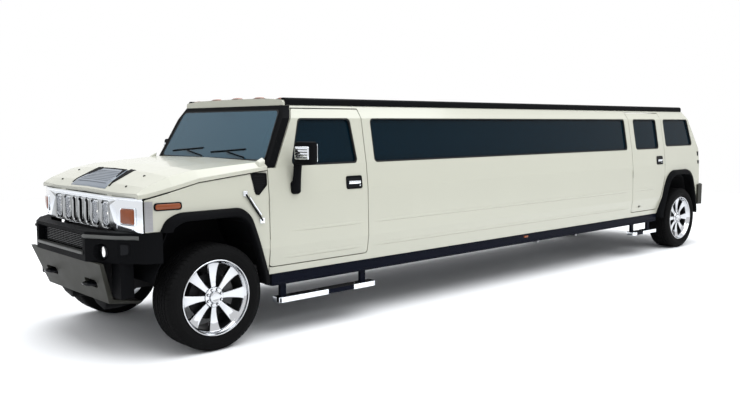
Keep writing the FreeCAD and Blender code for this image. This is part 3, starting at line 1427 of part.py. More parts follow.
def make_cabin():
    floor = s.floor_top
    seat = prism("Front_seat", "side", s.front_seat_place - s.front_seat_half, s.front_seat_place + s.front_seat_half,
                 [(s.front_seat_front, floor), (s.front_seat_rear, floor),
                  (s.front_seat_rear + s.front_seat_rake, s.front_seat_height, s.seat_round),
                  (s.front_seat_rear + s.front_seat_rake - s.front_seat_back, s.front_seat_height, s.seat_round),
                  (s.front_seat_rear - s.front_seat_back, s.front_seat_top),
                  (s.front_seat_front, s.front_seat_top, s.seat_round)])
    pair("front_seats", seat)

    room = [(-s.wall_half, floor), (s.wall_half, floor), (s.wall_half, s.belt_height),
            (s.wall_glass_half, s.glass_height), (s.wall_gutter_half, s.gutter_height),
            (-s.wall_gutter_half, s.gutter_height), (-s.wall_glass_half, s.glass_height),
            (-s.wall_half, s.belt_height)]
    wall = doc.addObject("PartDesign::Body", "Partition")
    pad(wall, "front", s.partition_front, s.partition_front + s.partition_thickness, room)
    pocket(wall, "front", s.partition_front - s.overrun, s.partition_front + s.partition_thickness + s.overrun,
           rectangle(-s.partition_glass_half, s.partition_glass_half, s.partition_glass_foot, s.partition_glass_top,
                     s.seat_round))
    node("partition", wall)

    back = s.wall_half - s.seat_gap
    bench = prism("Side_bench", "front", s.lounge_front, s.lounge_rear,
                  [(back - s.lounge_depth, floor), (back, floor), (back, s.lounge_height, s.seat_round),
                   (back - s.lounge_back, s.lounge_height, s.seat_round),
                   (back - s.lounge_back, s.lounge_seat_top),
                   (back - s.lounge_depth, s.lounge_seat_top, s.seat_round)])
    side = s.rear_liner_inner - s.seat_gap
    rear = prism("Rear_bench", "side", -side, side,
                 [(s.rear_bench_front, floor), (s.rear_bench_rear, floor),
                  (s.rear_bench_rear + s.seat_round, s.lounge_height, s.seat_round),
                  (s.rear_bench_rear + s.seat_round - s.lounge_back, s.lounge_height, s.seat_round),
                  (s.rear_bench_rear - s.lounge_back, s.lounge_seat_top),
                  (s.rear_bench_front, s.lounge_seat_top, s.seat_round)])
    node("lounge_seats", group("Lounge_seats", bench, rear))
    node("bar_cabinet", prism("Bar_cabinet", "front", s.bar_front, s.bar_rear,
                              [(-back, floor), (-back + s.bar_depth, floor),
                               (-back + s.bar_depth, s.bar_height, s.seat_round), (-back, s.bar_height)]))


HEXAGON = [(1, 0), (0.5, 0.87), (-0.5, 0.87), (-1, 0), (-0.5, -0.87), (0.5, -0.87)]


def make_steering_wheel():
    rim = turned("Steering_rim", -front_axle, 0,
                 [(s.steering_rim * across, s.steering_wheel_radius + s.steering_rim * out)
                  for across, out in HEXAGON])
    rim.Placement.Rotation = FreeCAD.Rotation(V(1, 0, 0), 65) * FreeCAD.Rotation(V(0, 1, 0), -90)
    move_to(rim, s.column_place, s.steering_depth, s.steering_height)
    spoke = rod("Steering_spoke", "x", s.column_place - s.steering_wheel_radius, s.steering_depth, s.steering_height,
                s.steering_wheel_radius * 2, s.steering_rim / 2)
    column = rod("Steering_column", "y", s.column_place, s.dash_rear - s.seat_round / 2, s.steering_height,
                 s.steering_depth - s.dash_rear + s.seat_round / 2, s.column_radius)
    dash = nodes_by_label("bulkhead")
    node("steering_wheel", cut("Steering_wheel", fuse("Steering_solid", rim, spoke, column), dash))


def nodes_by_label(label):
    return [thing for thing in nodes if thing.Label == label][0]


make_frame()
make_engine()
make_suspension()
make_knuckles()
make_rear_axle()
make_exhaust()
make_tank()
make_wheels()
make_sides()
make_floor()
make_sills()
make_bulkhead()
make_windscreen_frame()
roof_body = make_roof()
make_fenders()
make_flares()
make_front_bumper()
make_skid_plate()
make_grille()
make_roof_lamps(roof_body, make_lamps())
make_rear()
make_tailgate()
make_doors()
make_mirrors()
make_hood()
make_cabin()
make_steering_wheel()
doc.recompute()

for thing in doc.Objects:
    if "Invalid" in thing.State or "Error" in thing.State:
        raise RuntimeError(f"{thing.Name} failed: {thing.State}")
for thing in nodes:
    if thing.Shape.isNull() or not thing.Shape.isValid():
        raise RuntimeError(f"{thing.Label} has no valid shape")

os.makedirs("parts", exist_ok=True)
for thing in nodes:
    thing.Shape.exportStep(f"parts/{thing.Label}.step")
    print(thing.Label, len(thing.Shape.Solids), round(thing.Shape.Volume / 1e9, 4))
print(len(nodes), "pieces")
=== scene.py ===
import math

import bmesh
import bpy
from mathutils import Matrix, Vector


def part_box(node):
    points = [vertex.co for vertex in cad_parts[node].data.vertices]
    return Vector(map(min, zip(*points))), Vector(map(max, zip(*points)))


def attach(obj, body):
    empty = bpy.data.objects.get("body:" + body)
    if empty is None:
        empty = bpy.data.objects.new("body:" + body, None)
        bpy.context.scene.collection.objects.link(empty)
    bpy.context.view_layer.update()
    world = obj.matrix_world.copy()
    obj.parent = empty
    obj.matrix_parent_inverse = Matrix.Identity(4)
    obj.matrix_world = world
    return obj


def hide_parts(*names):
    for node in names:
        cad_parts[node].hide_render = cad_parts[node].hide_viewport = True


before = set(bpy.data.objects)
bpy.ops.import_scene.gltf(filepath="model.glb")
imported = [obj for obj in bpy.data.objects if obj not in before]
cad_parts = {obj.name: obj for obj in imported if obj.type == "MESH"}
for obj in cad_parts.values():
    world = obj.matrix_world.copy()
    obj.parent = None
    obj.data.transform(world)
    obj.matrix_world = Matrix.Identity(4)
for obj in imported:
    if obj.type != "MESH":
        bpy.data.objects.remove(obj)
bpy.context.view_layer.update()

# Lengths are in metres. Places along the vehicle are counted from the front axle, as in the part's source.

tyre_low, tyre_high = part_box("tyre_front_left")
FRONT_AXLE = (tyre_low.y + tyre_high.y) / 2
AXLE_HEIGHT = (tyre_low.z + tyre_high.z) / 2
TYRE_MIDDLE = (tyre_low.x + tyre_high.x) / 2
rear_low, rear_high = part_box("tyre_rear_left")
WHEELBASE = (rear_low.y + rear_high.y) / 2 - FRONT_AXLE
ROOT = "vehicle"
SIDES = ("left", "right")
ENDS = ("front", "rear")
CORNERS = [f"{end}_{side}" for end in ENDS for side in SIDES]


# Camera, light and floor

CAMERA_PLACE = (6.323, -3.246, 1.773)
CAMERA_TURNS = ((47.461, "Z"), (90 - 5.42, "X"), (-0.226, "Z"))
CAMERA_LENS = 38.476
SENSOR_WIDTH = 36
FLOOR_HALF = 13
SKY_STEPS = ((0.0, (0.3, 0.31, 0.33)), (0.1, (0.36, 0.38, 0.42)), (0.3, (0.8, 0.84, 0.9)),
             (0.6, (0.97, 0.98, 1.0)))
SKY_STRENGTH = 0.9
# Each lamp: name, place, aim, size, power and colour
LAMPS = (("Overhead", (1, 0, 9), (0, 0, 0), (14, 18), 1950, (0.95, 0.975, 1)),
         ("Side_fill", (13, 1, 5), (0, 0.5, 0.8), (18, 5), 110, (1, 0.99, 0.93)),
         ("Front_fill", (1, -15, 5), (0, -4, 0.8), (9, 5), 90, (1, 0.995, 0.96)),
         ("Far_fill", (-13, 2, 5), (0, 0, 0.8), (18, 5), 100, (1, 1, 1)),
         ("Rear_fill", (0, 15, 5), (0, 4, 0.8), (9, 5), 90, (1, 1, 1)))


def add_object(name, data):
    thing = bpy.data.objects.new(name, data)
    bpy.context.scene.collection.objects.link(thing)
    return thing


def make_camera():
    data = bpy.data.cameras.new("Camera")
    data.sensor_width = SENSOR_WIDTH
    data.lens = CAMERA_LENS
    data.clip_end = 200
    camera = add_object("Camera", data)
    x, y, z = CAMERA_PLACE
    camera.location = (x, y + FRONT_AXLE, z)
    turn, tilt, roll = [Matrix.Rotation(math.radians(angle), 4, axis) for angle, axis in CAMERA_TURNS]
    camera.rotation_euler = (turn @ tilt @ roll).to_euler()
    bpy.context.scene.camera = camera


def make_lamp(name, spot, aim, size, power, colour):
    """A soft area lamp; only the one overhead is seen in shiny surfaces."""
    data = bpy.data.lights.new(name, "AREA")
    data.shape = "RECTANGLE"
    data.size, data.size_y = size
    data.energy = power
    data.color = colour
    lamp = add_object(name, data)
    lamp.location = spot
    lamp.rotation_euler = (Vector(aim) - Vector(spot)).to_track_quat("-Z", "Y").to_euler()
    lamp.visible_glossy = name == "Overhead"


def add_node(tree, kind, values=None, links=None):
    """A shader node with some inputs set and some linked to other nodes' outputs."""
    node = tree.nodes.new("ShaderNode" + kind)
    for key, value in (values or {}).items():
        node.inputs[key].default_value = value
    for key, output in (links or {}).items():
        tree.links.new(output, node.inputs[key])
    return node


def make_world():
    """A sky that is pale above and grey low down; straight, mirrored and clear views see plain white."""
    world = bpy.data.worlds.new("Studio")
    world.use_nodes = True
    bpy.context.scene.world = world
    tree = world.node_tree
    sky = tree.nodes["Background"]
    sky.inputs["Strength"].default_value = SKY_STRENGTH
    coords = add_node(tree, "TexCoord")
    split = add_node(tree, "SeparateXYZ", links={"Vector": coords.outputs["Generated"]})
    ramp = add_node(tree, "ValToRGB", links={"Fac": split.outputs["Z"]})
    tree.links.new(ramp.outputs["Color"], sky.inputs["Color"])
    for height, colour in SKY_STEPS[2:]:
        ramp.color_ramp.elements.new(height)
    for element, (height, colour) in zip(ramp.color_ramp.elements, SKY_STEPS):
        element.position = height
        element.color = (*colour, 1)
    backdrop = add_node(tree, "Background", {"Color": (1, 1, 1, 1), "Strength": 1.0})
    rays = add_node(tree, "LightPath")
    seen = rays.outputs["Is Camera Ray"]
    for ray in ("Is Glossy Ray", "Is Transmission Ray"):
        total = add_node(tree, "Math", links={0: seen, 1: rays.outputs[ray]})
        total.use_clamp = True
        seen = total.outputs["Value"]
    mix = add_node(tree, "MixShader", links={"Fac": seen, 1: sky.outputs["Background"],
                                             2: backdrop.outputs["Background"]})
    tree.links.new(mix.outputs["Shader"], tree.nodes["World Output"].inputs["Surface"])


def make_studio():
    bpy.context.scene.view_settings.view_transform = "Standard"
    make_world()
    for lamp in LAMPS:
        make_lamp(*lamp)
    floor = bpy.data.meshes.new("Floor")
    corners = [(x * FLOOR_HALF, y * FLOOR_HALF, 0) for x, y in ((-1, -1), (1, -1), (1, 1), (-1, 1))]
    floor.from_pydata(corners, [], [(0, 1, 2, 3)])
    floor.materials.append(make_material("Floor_pale", (0.93, 0.93, 0.93), 1.0, shine=0.0))
    add_object("Floor", floor)


# Materials

def make_material(name, colour, roughness, metallic=0.0, coat=0.0, vary=0.0, scale=3.0, rough_vary=0.0,
                  bump=None, edge=0.0, stretch=(1, 1, 1), shine=0.5):
    """A principled material whose colour and roughness vary through noise of a scale.

    Its fine relief, bump, is given by a strength and a scale, and edge is the radius that edges seem to have.
    """
    material = bpy.data.materials.new(name)
    material.use_nodes = True
    tree = material.node_tree
    shader = tree.nodes["Principled BSDF"]
    settings = {"Base Color": (*colour, 1), "Roughness": roughness, "Metallic": metallic,
                "Specular IOR Level": shine, "Coat Weight": coat, "Coat Roughness": 0.04}
    for key, value in settings.items():
        shader.inputs[key].default_value = value
    coords = add_node(tree, "TexCoord")
    mapping = add_node(tree, "Mapping", {"Scale": stretch}, {"Vector": coords.outputs["Object"]})
    surface = {"Vector": mapping.outputs["Vector"]}
    if vary or rough_vary:
        noise = add_node(tree, "TexNoise", {"Scale": scale, "Detail": 4}, surface).outputs["Fac"]
    if vary:
        blend = tree.nodes.new("ShaderNodeMix")
        blend.data_type = "RGBA"
        tree.links.new(noise, blend.inputs[0])
        for index, share in ((6, 1 - vary), (7, 1 + vary)):
            blend.inputs[index].default_value = (*[min(1, value * share) for value in colour], 1)
        tree.links.new(blend.outputs[2], shader.inputs["Base Color"])
    if rough_vary:
        limits = {"To Min": max(0.0, roughness - rough_vary), "To Max": min(1.0, roughness + rough_vary)}
        spread = add_node(tree, "MapRange", limits, {"Value": noise})
        tree.links.new(spread.outputs["Result"], shader.inputs["Roughness"])
    normal = {}
    if edge:
        rounding = add_node(tree, "Bevel", {"Radius": edge})
        rounding.samples = 4
        normal = {"Normal": rounding.outputs["Normal"]}
    if bump:
        grain = add_node(tree, "TexNoise", {"Scale": bump[1], "Detail": 6}, surface)
        relief = add_node(tree, "Bump", {"Strength": bump[0], "Distance": 0.002},
                          {"Height": grain.outputs["Fac"], **normal})
        normal = {"Normal": relief.outputs["Normal"]}
    for key, output in normal.items():
        tree.links.new(output, shader.inputs[key])
    return material


def make_glass(name, colour, alpha, roughness=0.02, shine=0.5):
    """Tinted glass: dark with a mirror-like surface, partly see-through, with a faint streaky film on it."""
    material = make_material(name, colour, roughness, rough_vary=0.015, scale=1.5, shine=shine)
    shader = material.node_tree.nodes["Principled BSDF"]
    shader.inputs["Alpha"].default_value = alpha
    shader.inputs["IOR"].default_value = 1.52
    return material


def make_glowing(name, colour, strength):
    """Lamp plastic lit from inside by the studio light that it gathers, with a ribbed face."""
    material = make_material(name, colour, 0.12, coat=0.2, bump=(0.15, 120), shine=0.3)
    shader = material.node_tree.nodes["Principled BSDF"]
    shader.inputs["Emission Color"].default_value = (*colour, 1)
    shader.inputs["Emission Strength"].default_value = strength
    return material


def make_chrome(name, colour, roughness, rough_vary=0.03, scale=4, edge=0.004):
    return make_material(name, colour, roughness, 1.0, rough_vary=rough_vary, scale=scale, edge=edge)


# Paint and plastic
WHITE = make_material("White_paint", (0.43, 0.428, 0.357), 0.24, coat=0.25, vary=0.012, scale=1.2,
                      rough_vary=0.04, edge=0.007)
BLACK = make_material("Grained_black_plastic", (0.0042, 0.0044, 0.005), 0.5, vary=0.25, scale=5,
                      bump=(0.3, 450), rough_vary=0.08, edge=0.006, shine=0.02)
BLACK_GLOSS = make_material("Gloss_black", (0.004, 0.0045, 0.006), 0.18, coat=0.05, vary=0.2, rough_vary=0.05,
                            shine=0.1)
RUBBER = make_material("Rubber_seal", (0.007, 0.007, 0.0075), 0.6, vary=0.2, bump=(0.1, 300), shine=0.2)
NAVY = make_material("Navy_sill_paint", (0.003, 0.004, 0.009), 0.35, vary=0.2, scale=2, rough_vary=0.1,
                     edge=0.006, shine=0.03)
GREY = make_material("Grey_skid_paint", (0.03, 0.03, 0.025), 0.5, metallic=0.1, vary=0.15, scale=6,
                     bump=(0.15, 200), rough_vary=0.1, edge=0.005, shine=0.1)
# Grey trim for the front bumper's rib and ledge: its grey, lighter than the black bumper, is painted
# highlight on those ledges.
LEDGE_HIGHLIGHT_GREY = make_material("Grey_trim_painted_highlight", (0.06, 0.062, 0.059), 0.45, metallic=0.2, vary=0.2, scale=9,
                          bump=(0.2, 240), rough_vary=0.12)
PLATE_WHITE = make_material("Blank_plate", (0.7, 0.7, 0.68), 0.4, vary=0.04, bump=(0.1, 80))
VENT_BLUE = make_material("Grey_blue_panel", (0.13, 0.16, 0.2), 0.35, metallic=0.3, coat=0.4, vary=0.12,
                          scale=8, bump=(0.1, 300), rough_vary=0.06)
VENT_RIB = make_material("Grey_blue_ribs", (0.08, 0.1, 0.125), 0.4, coat=0.3, vary=0.15, scale=8,
                         rough_vary=0.06)
TYRE = make_material("Tyre_rubber", (0.005, 0.005, 0.0052), 0.7, vary=0.3, scale=7, bump=(0.35, 260),
                     rough_vary=0.1, shine=0.04)
# Metal
CHROME = make_chrome("Chrome", (0.76, 0.79, 0.83), 0.07)
# The wheels' chrome is the chrome made darker: painted shade for the darker reflections in the wheels.
SHADED_RIM_CHROME = make_chrome("Wheel_chrome", (0.55, 0.56, 0.58), 0.06, edge=0.003)
# The grille bars' chrome is the chrome made darker still: painted shade for the dark reflections on the bars.
SHADED_GRILLE_CHROME = make_chrome("Grille_bar_chrome_painted_shade", (0.36, 0.37, 0.375), 0.16, 0.05, 5)
REFLECTOR = make_material("Lamp_reflector", (0.95, 0.95, 0.95), 0.12, metallic=1.0, bump=(0.2, 90))
MIRROR_GLASS = make_material("Mirror_glass", (0.75, 0.78, 0.8), 0.03, metallic=1.0, rough_vary=0.02)
# Near-black metal for dark metal parts, also used as painted shade inside the wheels' rims.
DARK_METAL_AND_SHADE = make_material("Dark_metal_and_painted_shade", (0.012, 0.012, 0.013), 0.5, metallic=0.6, vary=0.3, scale=12,
                            rough_vary=0.1, shine=0.2)
CHASSIS = make_material("Chassis_paint", (0.012, 0.012, 0.013), 0.6, vary=0.4, scale=8, bump=(0.3, 90),
                        rough_vary=0.15, shine=0.25)
CAST = make_material("Cast_metal", (0.07, 0.07, 0.072), 0.55, metallic=0.8, vary=0.3, scale=9,
                     bump=(0.6, 160), rough_vary=0.15)
STEEL = make_material("Bare_steel", (0.3, 0.3, 0.31), 0.38, metallic=1.0, vary=0.2, scale=7, bump=(0.2, 220),
                      rough_vary=0.12)
# Glass and lamps
DARK_GLASS = make_glass("Privacy_glass", (0.001, 0.008, 0.014), 0.95, 0.03, 0.07)
# The windscreen glass's blue tint is partly its own and partly made brighter as painted reflection of the
# sky.
SCREEN_GLASS = make_glass("Windscreen_glass", (0.03, 0.085, 0.125), 0.75, 0.02, 0.3)
LENS = make_glass("Clear_lens", (0.9, 0.94, 1.0), 0.25)
BOTTLE_GREEN = make_glass("Bottle_glass", (0.01, 0.06, 0.02), 0.85)
BULB = make_glowing("Lamp_bulb", (1.0, 0.97, 0.9), 1.4)
AMBER = make_glowing("Amber_lens", (0.19, 0.04, 0.006), 0.04)
RED = make_glowing("Red_lens", (0.28, 0.008, 0.008), 0.08)
STRIP_LIGHT = make_glowing("Blue_strip_light", (0.08, 0.25, 0.9), 1.5)
# Inside
LEATHER = make_material("Black_leather", (0.03, 0.028, 0.027), 0.45, vary=0.25, scale=14, bump=(0.5, 180),
                        rough_vary=0.1)
CABINET = make_material("Lacquered_cabinet", (0.03, 0.012, 0.008), 0.15, coat=0.8, vary=0.5, scale=3,
                        stretch=(1, 0.1, 6), rough_vary=0.05)
CABIN_TRIM = make_material("Cabin_trim_cloth", (0.05, 0.048, 0.047), 0.85, vary=0.3, scale=40,
                           bump=(0.6, 700), rough_vary=0.05)
HEADLINER = make_material("Headliner_cloth", (0.16, 0.155, 0.15), 0.95, vary=0.15, scale=30, bump=(0.7, 800))
STONE = make_material("Black_stone_top", (0.02, 0.02, 0.022), 0.12, coat=0.6, vary=0.8, scale=30,
                      rough_vary=0.04)


# What makes and places pieces. Their points are (x, y from the front axle, z).

def add_piece(name, mesh, materials, body=ROOT, turn_right=False, angle=35):
    """Make a piece of a bmesh, moved to the vehicle's place; turned right it is the mirror image."""
    if turn_right:
        bmesh.ops.scale(mesh, vec=(-1, 1, 1), verts=mesh.verts)
        bmesh.ops.reverse_faces(mesh, faces=mesh.faces)
    bmesh.ops.translate(mesh, vec=(0, FRONT_AXLE, 0), verts=mesh.verts)
    data = bpy.data.meshes.new(name)
    mesh.to_mesh(data)
    mesh.free()
    made = add_object(name, data)
    for material in materials if isinstance(materials, list) else [materials]:
        data.materials.append(material)
    data.polygons.foreach_set("use_smooth", [True] * len(data.polygons))
    data.set_sharp_from_angle(angle=math.radians(angle))
    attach(made, body)
    return made


# Places of copies: a suffix of the name, the side and the distance from the front axle
WHOLE = [("", "left", 0)]
PAIR = [("_" + side, side, 0) for side in SIDES]
WHEELS = [(f"_{end}_{side}", side, shift) for end, shift in zip(ENDS, (0, WHEELBASE)) for side in SIDES]


def piece(name, materials, slot=None, body=ROOT, replaced=None, angle=35, places=WHOLE):
    """Make a piece at each place with the function below it, which fills an empty mesh for the left side.

    {} in the name of a body or of a replaced node stands for the place; without it the first copy replaces
    the node.
    """
    def make(fill):
        for suffix, side, shift in places:
            mesh = bmesh.new()
            fill(mesh)
            bmesh.ops.translate(mesh, vec=(0, shift, 0), verts=mesh.verts)
            carrier = body.format(suffix[1:])
            made = add_piece(name + suffix, mesh, materials, carrier, side == "right", angle)
            if replaced and ("{}" in replaced or suffix == places[0][0]):
                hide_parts(replaced.format(suffix[1:]))
        return fill
    return make


def pair(*details, **options):
    """Make a piece on the left and its mirror image on the right."""
    return piece(*details, places=PAIR, **options)


# Forms

AXES = {"x": (1, 2, 0), "y": (0, 2, 1), "z": (0, 1, 2)}


def about(middle, half):
    return (middle - half, middle + half)


def evenly(first, pitch, count):
    return [first + pitch * k for k in range(count)]


def circle(steps):
    return [2 * math.pi * k / steps for k in range(steps)]


def rectangle(left, right, low, high):
    return [(left, low), (right, low), (right, high), (left, high)]


def shrunk(corners, inset):
    """The corners of a convex outline moved in towards its middle by about an inset on each axis."""
    middle = [sum(corner[k] for corner in corners) / len(corners) for k in (0, 1)]
    result = []
    for corner in corners:
        moved = [value - inset * (1 if value > centre else -1) for value, centre in zip(corner[:2], middle)]
        result.append((*moved, *corner[2:]))
    return result


def corner_arc(before, here, behind, size, share, steps):
    """Points of a curve that rounds a corner, no longer than a share of its sides."""
    here = Vector(here)
    before = Vector(before) - here
    behind = Vector(behind) - here
    size = min(size, before.length * share, behind.length * share)
    if size < 0.0002:
        return [tuple(here)]
    start = here + before.normalized() * size
    end = here + behind.normalized() * size
    return [tuple(start * (1 - t) ** 2 + here * 2 * t * (1 - t) + end * t ** 2)
            for t in (k / steps for k in range(steps + 1))]


def rounded(corners, radius, steps=4):
    """An outline with each corner rounded; a corner's own third value is its radius."""
    points = []
    for i, corner in enumerate(corners):
        behind = corners[(i + 1) % len(corners)]
        size = corner[2] if len(corner) > 2 else radius
        points += corner_arc(corners[i - 1][:2], corner[:2], behind[:2], size, 0.48, steps)
    return points


def in_space(axis, across, up, along):
    """A point from its two places in an outline and its place along the outline's axis."""
    point = [0, 0, 0]
    for index, value in zip(AXES[axis], (across, up, along)):
        point[index] = value
    return Vector(point)


def soften(mesh, width, segments=2, limit=25, verts=None):
    """Round the edges that are sharper than a limit, of all or of some verts."""
    chosen = set(verts) if verts else None
    edges = [edge for edge in mesh.edges
             if len(edge.link_faces) == 2 and edge.calc_face_angle(0) > math.radians(limit)
             and (chosen is None or (edge.verts[0] in chosen and edge.verts[1] in chosen))]
    bmesh.ops.bevel(mesh, geom=edges, offset=width, segments=segments, affect="EDGES", profile=0.6,
                    clamp_overlap=True)


def finish_faces(mesh, faces, material):
    for face in faces:
        face.material_index = material
    bmesh.ops.recalc_face_normals(mesh, faces=faces)


def prism(mesh, outline, axis, ends, material=0, soft=None):
    """The outline's prism between two places along an axis; soft is its edges' radius and steps."""
    rings = [[mesh.verts.new(in_space(axis, across, up, along)) for across, up in outline] for along in ends]
    faces = [mesh.faces.new(rings[0]), mesh.faces.new(rings[1][::-1])]
    for i in range(len(outline)):
        j = (i + 1) % len(outline)
        faces.append(mesh.faces.new((rings[0][i], rings[1][i], rings[1][j], rings[0][j])))
    finish_faces(mesh, faces, material)
    verts = rings[0] + rings[1]
    if soft:
        soften(mesh, *soft, verts=verts)
    return verts


def box(mesh, x, y, z, material=0, soft=None):
    return prism(mesh, rectangle(*x, *y), "z", z, material, soft)


def skin(mesh, rings, closed_ring=True, caps=True, closed_path=False, material=0):
    """Join rings of points, each with the same count, into one surface."""
    rows = [[mesh.verts.new(point) for point in ring] for ring in rings]
    count = len(rows[0])
    faces = []
    for first, second in list(zip(rows, rows[1:])) + ([(rows[-1], rows[0])] if closed_path else []):
        for i in range(count if closed_ring else count - 1):
            j = (i + 1) % count
            faces.append(mesh.faces.new((first[i], first[j], second[j], second[i])))
    if caps and not closed_path and closed_ring:
        faces += [mesh.faces.new(rows[0][::-1]), mesh.faces.new(rows[-1])]
    finish_faces(mesh, faces, material)


def stack(mesh, at, *layers, material=0, caps=True):
    """A solid over a surface, of layers that are each an outline and its distance out."""
    skin(mesh, [[at(a, b, out) for a, b in outline] for outline, out in layers], caps=caps, material=material)


def dome(mesh, at, corners, radius, *steps, material=0, caps=True):
    """A stack of one outline's layers; each step is an inset and a distance out."""
    layers = [(rounded(shrunk(corners, inset), radius), out) for inset, out in steps]
    stack(mesh, at, *layers, material=material, caps=caps)


def rim(mesh, at, *loops, material=0):
    """A closed rim over a surface through loops, each an outline with as many points and its distance out."""
    rows = zip(*[[at(a, b, out) for a, b in outline] for outline, out in loops])
    skin(mesh, list(rows), caps=False, closed_path=True, material=material)


def tube(mesh, path, radius, sides=10, closed=False, material=0, flat=1.0, steady=(0, 0, 1)):
    """A round bar along a path; flat squeezes it across the steady direction."""
    path = [Vector(point) for point in path]
    rings = []
    for i, point in enumerate(path):
        before = path[i - 1] if (i or closed) else point
        behind = path[(i + 1) % len(path)] if (i + 1 < len(path) or closed) else point
        ahead = (behind - before).normalized()
        across = ahead.cross(Vector(steady))
        if across.length <= 0.05:
            across = ahead.cross(Vector((0, 1, 0.1)))
        across.normalize()
        up = across.cross(ahead)
        rings.append([point + across * (math.cos(a) * radius) + up * (math.sin(a) * radius * flat)
                      for a in circle(sides)])
    skin(mesh, rings, closed_path=closed, material=material)


def wheel_point(x, radius, turn):
    """A point of a wheel from its place along the axle, its distance from it and its turn."""
    return Vector((x, radius * math.sin(turn), AXLE_HEIGHT + radius * math.cos(turn)))


def lathe(mesh, profile, steps=64, material=0):
    """Turn a profile of (x, radius) about the axle."""
    rings = [[wheel_point(x, radius, turn) for x, radius in profile] for turn in circle(steps)]
    skin(mesh, rings, caps=False, closed_path=True, material=material)


def turned_along(mesh, centre, axis, profile, steps=28, material=0):
    """Turn a profile of (distance along the axis, radius) about an axis through a centre."""
    turn = Vector(axis).normalized().to_track_quat("Z", "Y")
    skin(mesh, [[Vector(centre) + turn @ Vector((radius * math.cos(a), radius * math.sin(a), along))
                 for a in circle(steps)] for along, radius in profile], material=material)


def plate(mesh, outer, holes, axis, start, end, material=0):
    """A flat plate with holes, between two places along an axis."""
    edges = []
    for outline in (outer, *holes):
        verts = [mesh.verts.new(in_space(axis, across, up, start)) for across, up in outline]
        edges += [mesh.edges.new((verts[i], verts[(i + 1) % len(verts)])) for i in range(len(verts))]
    filled = bmesh.ops.triangle_fill(mesh, edges=edges, use_beauty=True)
    faces = [item for item in filled["geom"] if isinstance(item, bmesh.types.BMFace)]
    for face in faces:
        face.material_index = material
    grown = bmesh.ops.extrude_face_region(mesh, geom=faces)
    bmesh.ops.translate(mesh, vec=in_space(axis, 0, 0, end - start),
                        verts=[item for item in grown["geom"] if isinstance(item, bmesh.types.BMVert)])
    bmesh.ops.recalc_face_normals(mesh, faces=mesh.faces)


# The body's outside: half widths and heights, and the nose that narrows
SECTION = [(0.95, 0.534), (0.985, 0.76), (0.978, 1.2), (0.955, 1.43), (0.885, 1.834), (0.808, 1.944)]
NOSE_START = -0.3
NOSE_TAPER = 0.045 / 0.26


def side_x(z, y=0.0):
    """The half width of the body at a height and a place."""
    width = SECTION[0][0] if z < SECTION[0][1] else SECTION[-1][0]
    for (low_x, low_z), (high_x, high_z) in zip(SECTION, SECTION[1:]):
        if low_z <= z <= high_z:
            width = low_x + (high_x - low_x) * (z - low_z) / (high_z - low_z)
    if y < NOSE_START:
        width = min(width, SECTION[1][0] - NOSE_TAPER * (NOSE_START - y))
    return width


def on_side(y, z, out):
    return (side_x(z, y) + out, y, z)


def roof_z(x):
    """The roof's height at a place across it."""
    across = abs(x)
    if across < 0.56:
        return 2.012 - 0.004 * across / 0.56
    return 2.008 - 0.018 * min(1, (across - 0.56) / 0.248)


def on_roof(x, y, out):
    return (x, y, roof_z(x) + out)


def screen_y(z):
    """How far back the windscreen frame's front is at a height."""
    return 0.537 + 0.5195 * (z - 1.43)


def on_screen(x, z, out):
    return (x, screen_y(z) - out, z)


# Grille with its lamps

GRILLE_FACE = -0.645
GRILLE_DEPTH = 0.055
GRILLE_BACK = GRILLE_FACE + GRILLE_DEPTH
GRILLE_FOOT = 0.98
GRILLE_TOP = 1.222
GRILLE_HALF = 0.66
CORNER_HALF = 0.93
CORNER_PLACE = -0.575
LAMP_PLACES = (0.27, 0.46)
LAMP_HEIGHT = 1.1
SLOT_LOW = 0.994
SLOT_HIGH = 1.2
SLOTS = [(-0.045, 0.045), (0.085, 0.165), (-0.165, -0.085)]
for lamp_place in LAMP_PLACES:
    SLOTS += [about(lamp_place, 0.068), about(-lamp_place, 0.068)]


def on_face(x, z, out):
    return (x, GRILLE_FACE - out, z)


def on_corner(x, z, out):
    """A point on the grille's swept corner, moved out of it."""
    swept = GRILLE_FACE + 0.07 * (abs(x) - GRILLE_HALF) / 0.27
    return Vector((x + 0.25 * out, swept - 0.97 * out, z))


def between(first, second):
    """The outline halfway between two with as many points."""
    return [((a0 + a1) / 2, (b0 + b1) / 2) for (a0, b0), (a1, b1) in zip(first, second)]


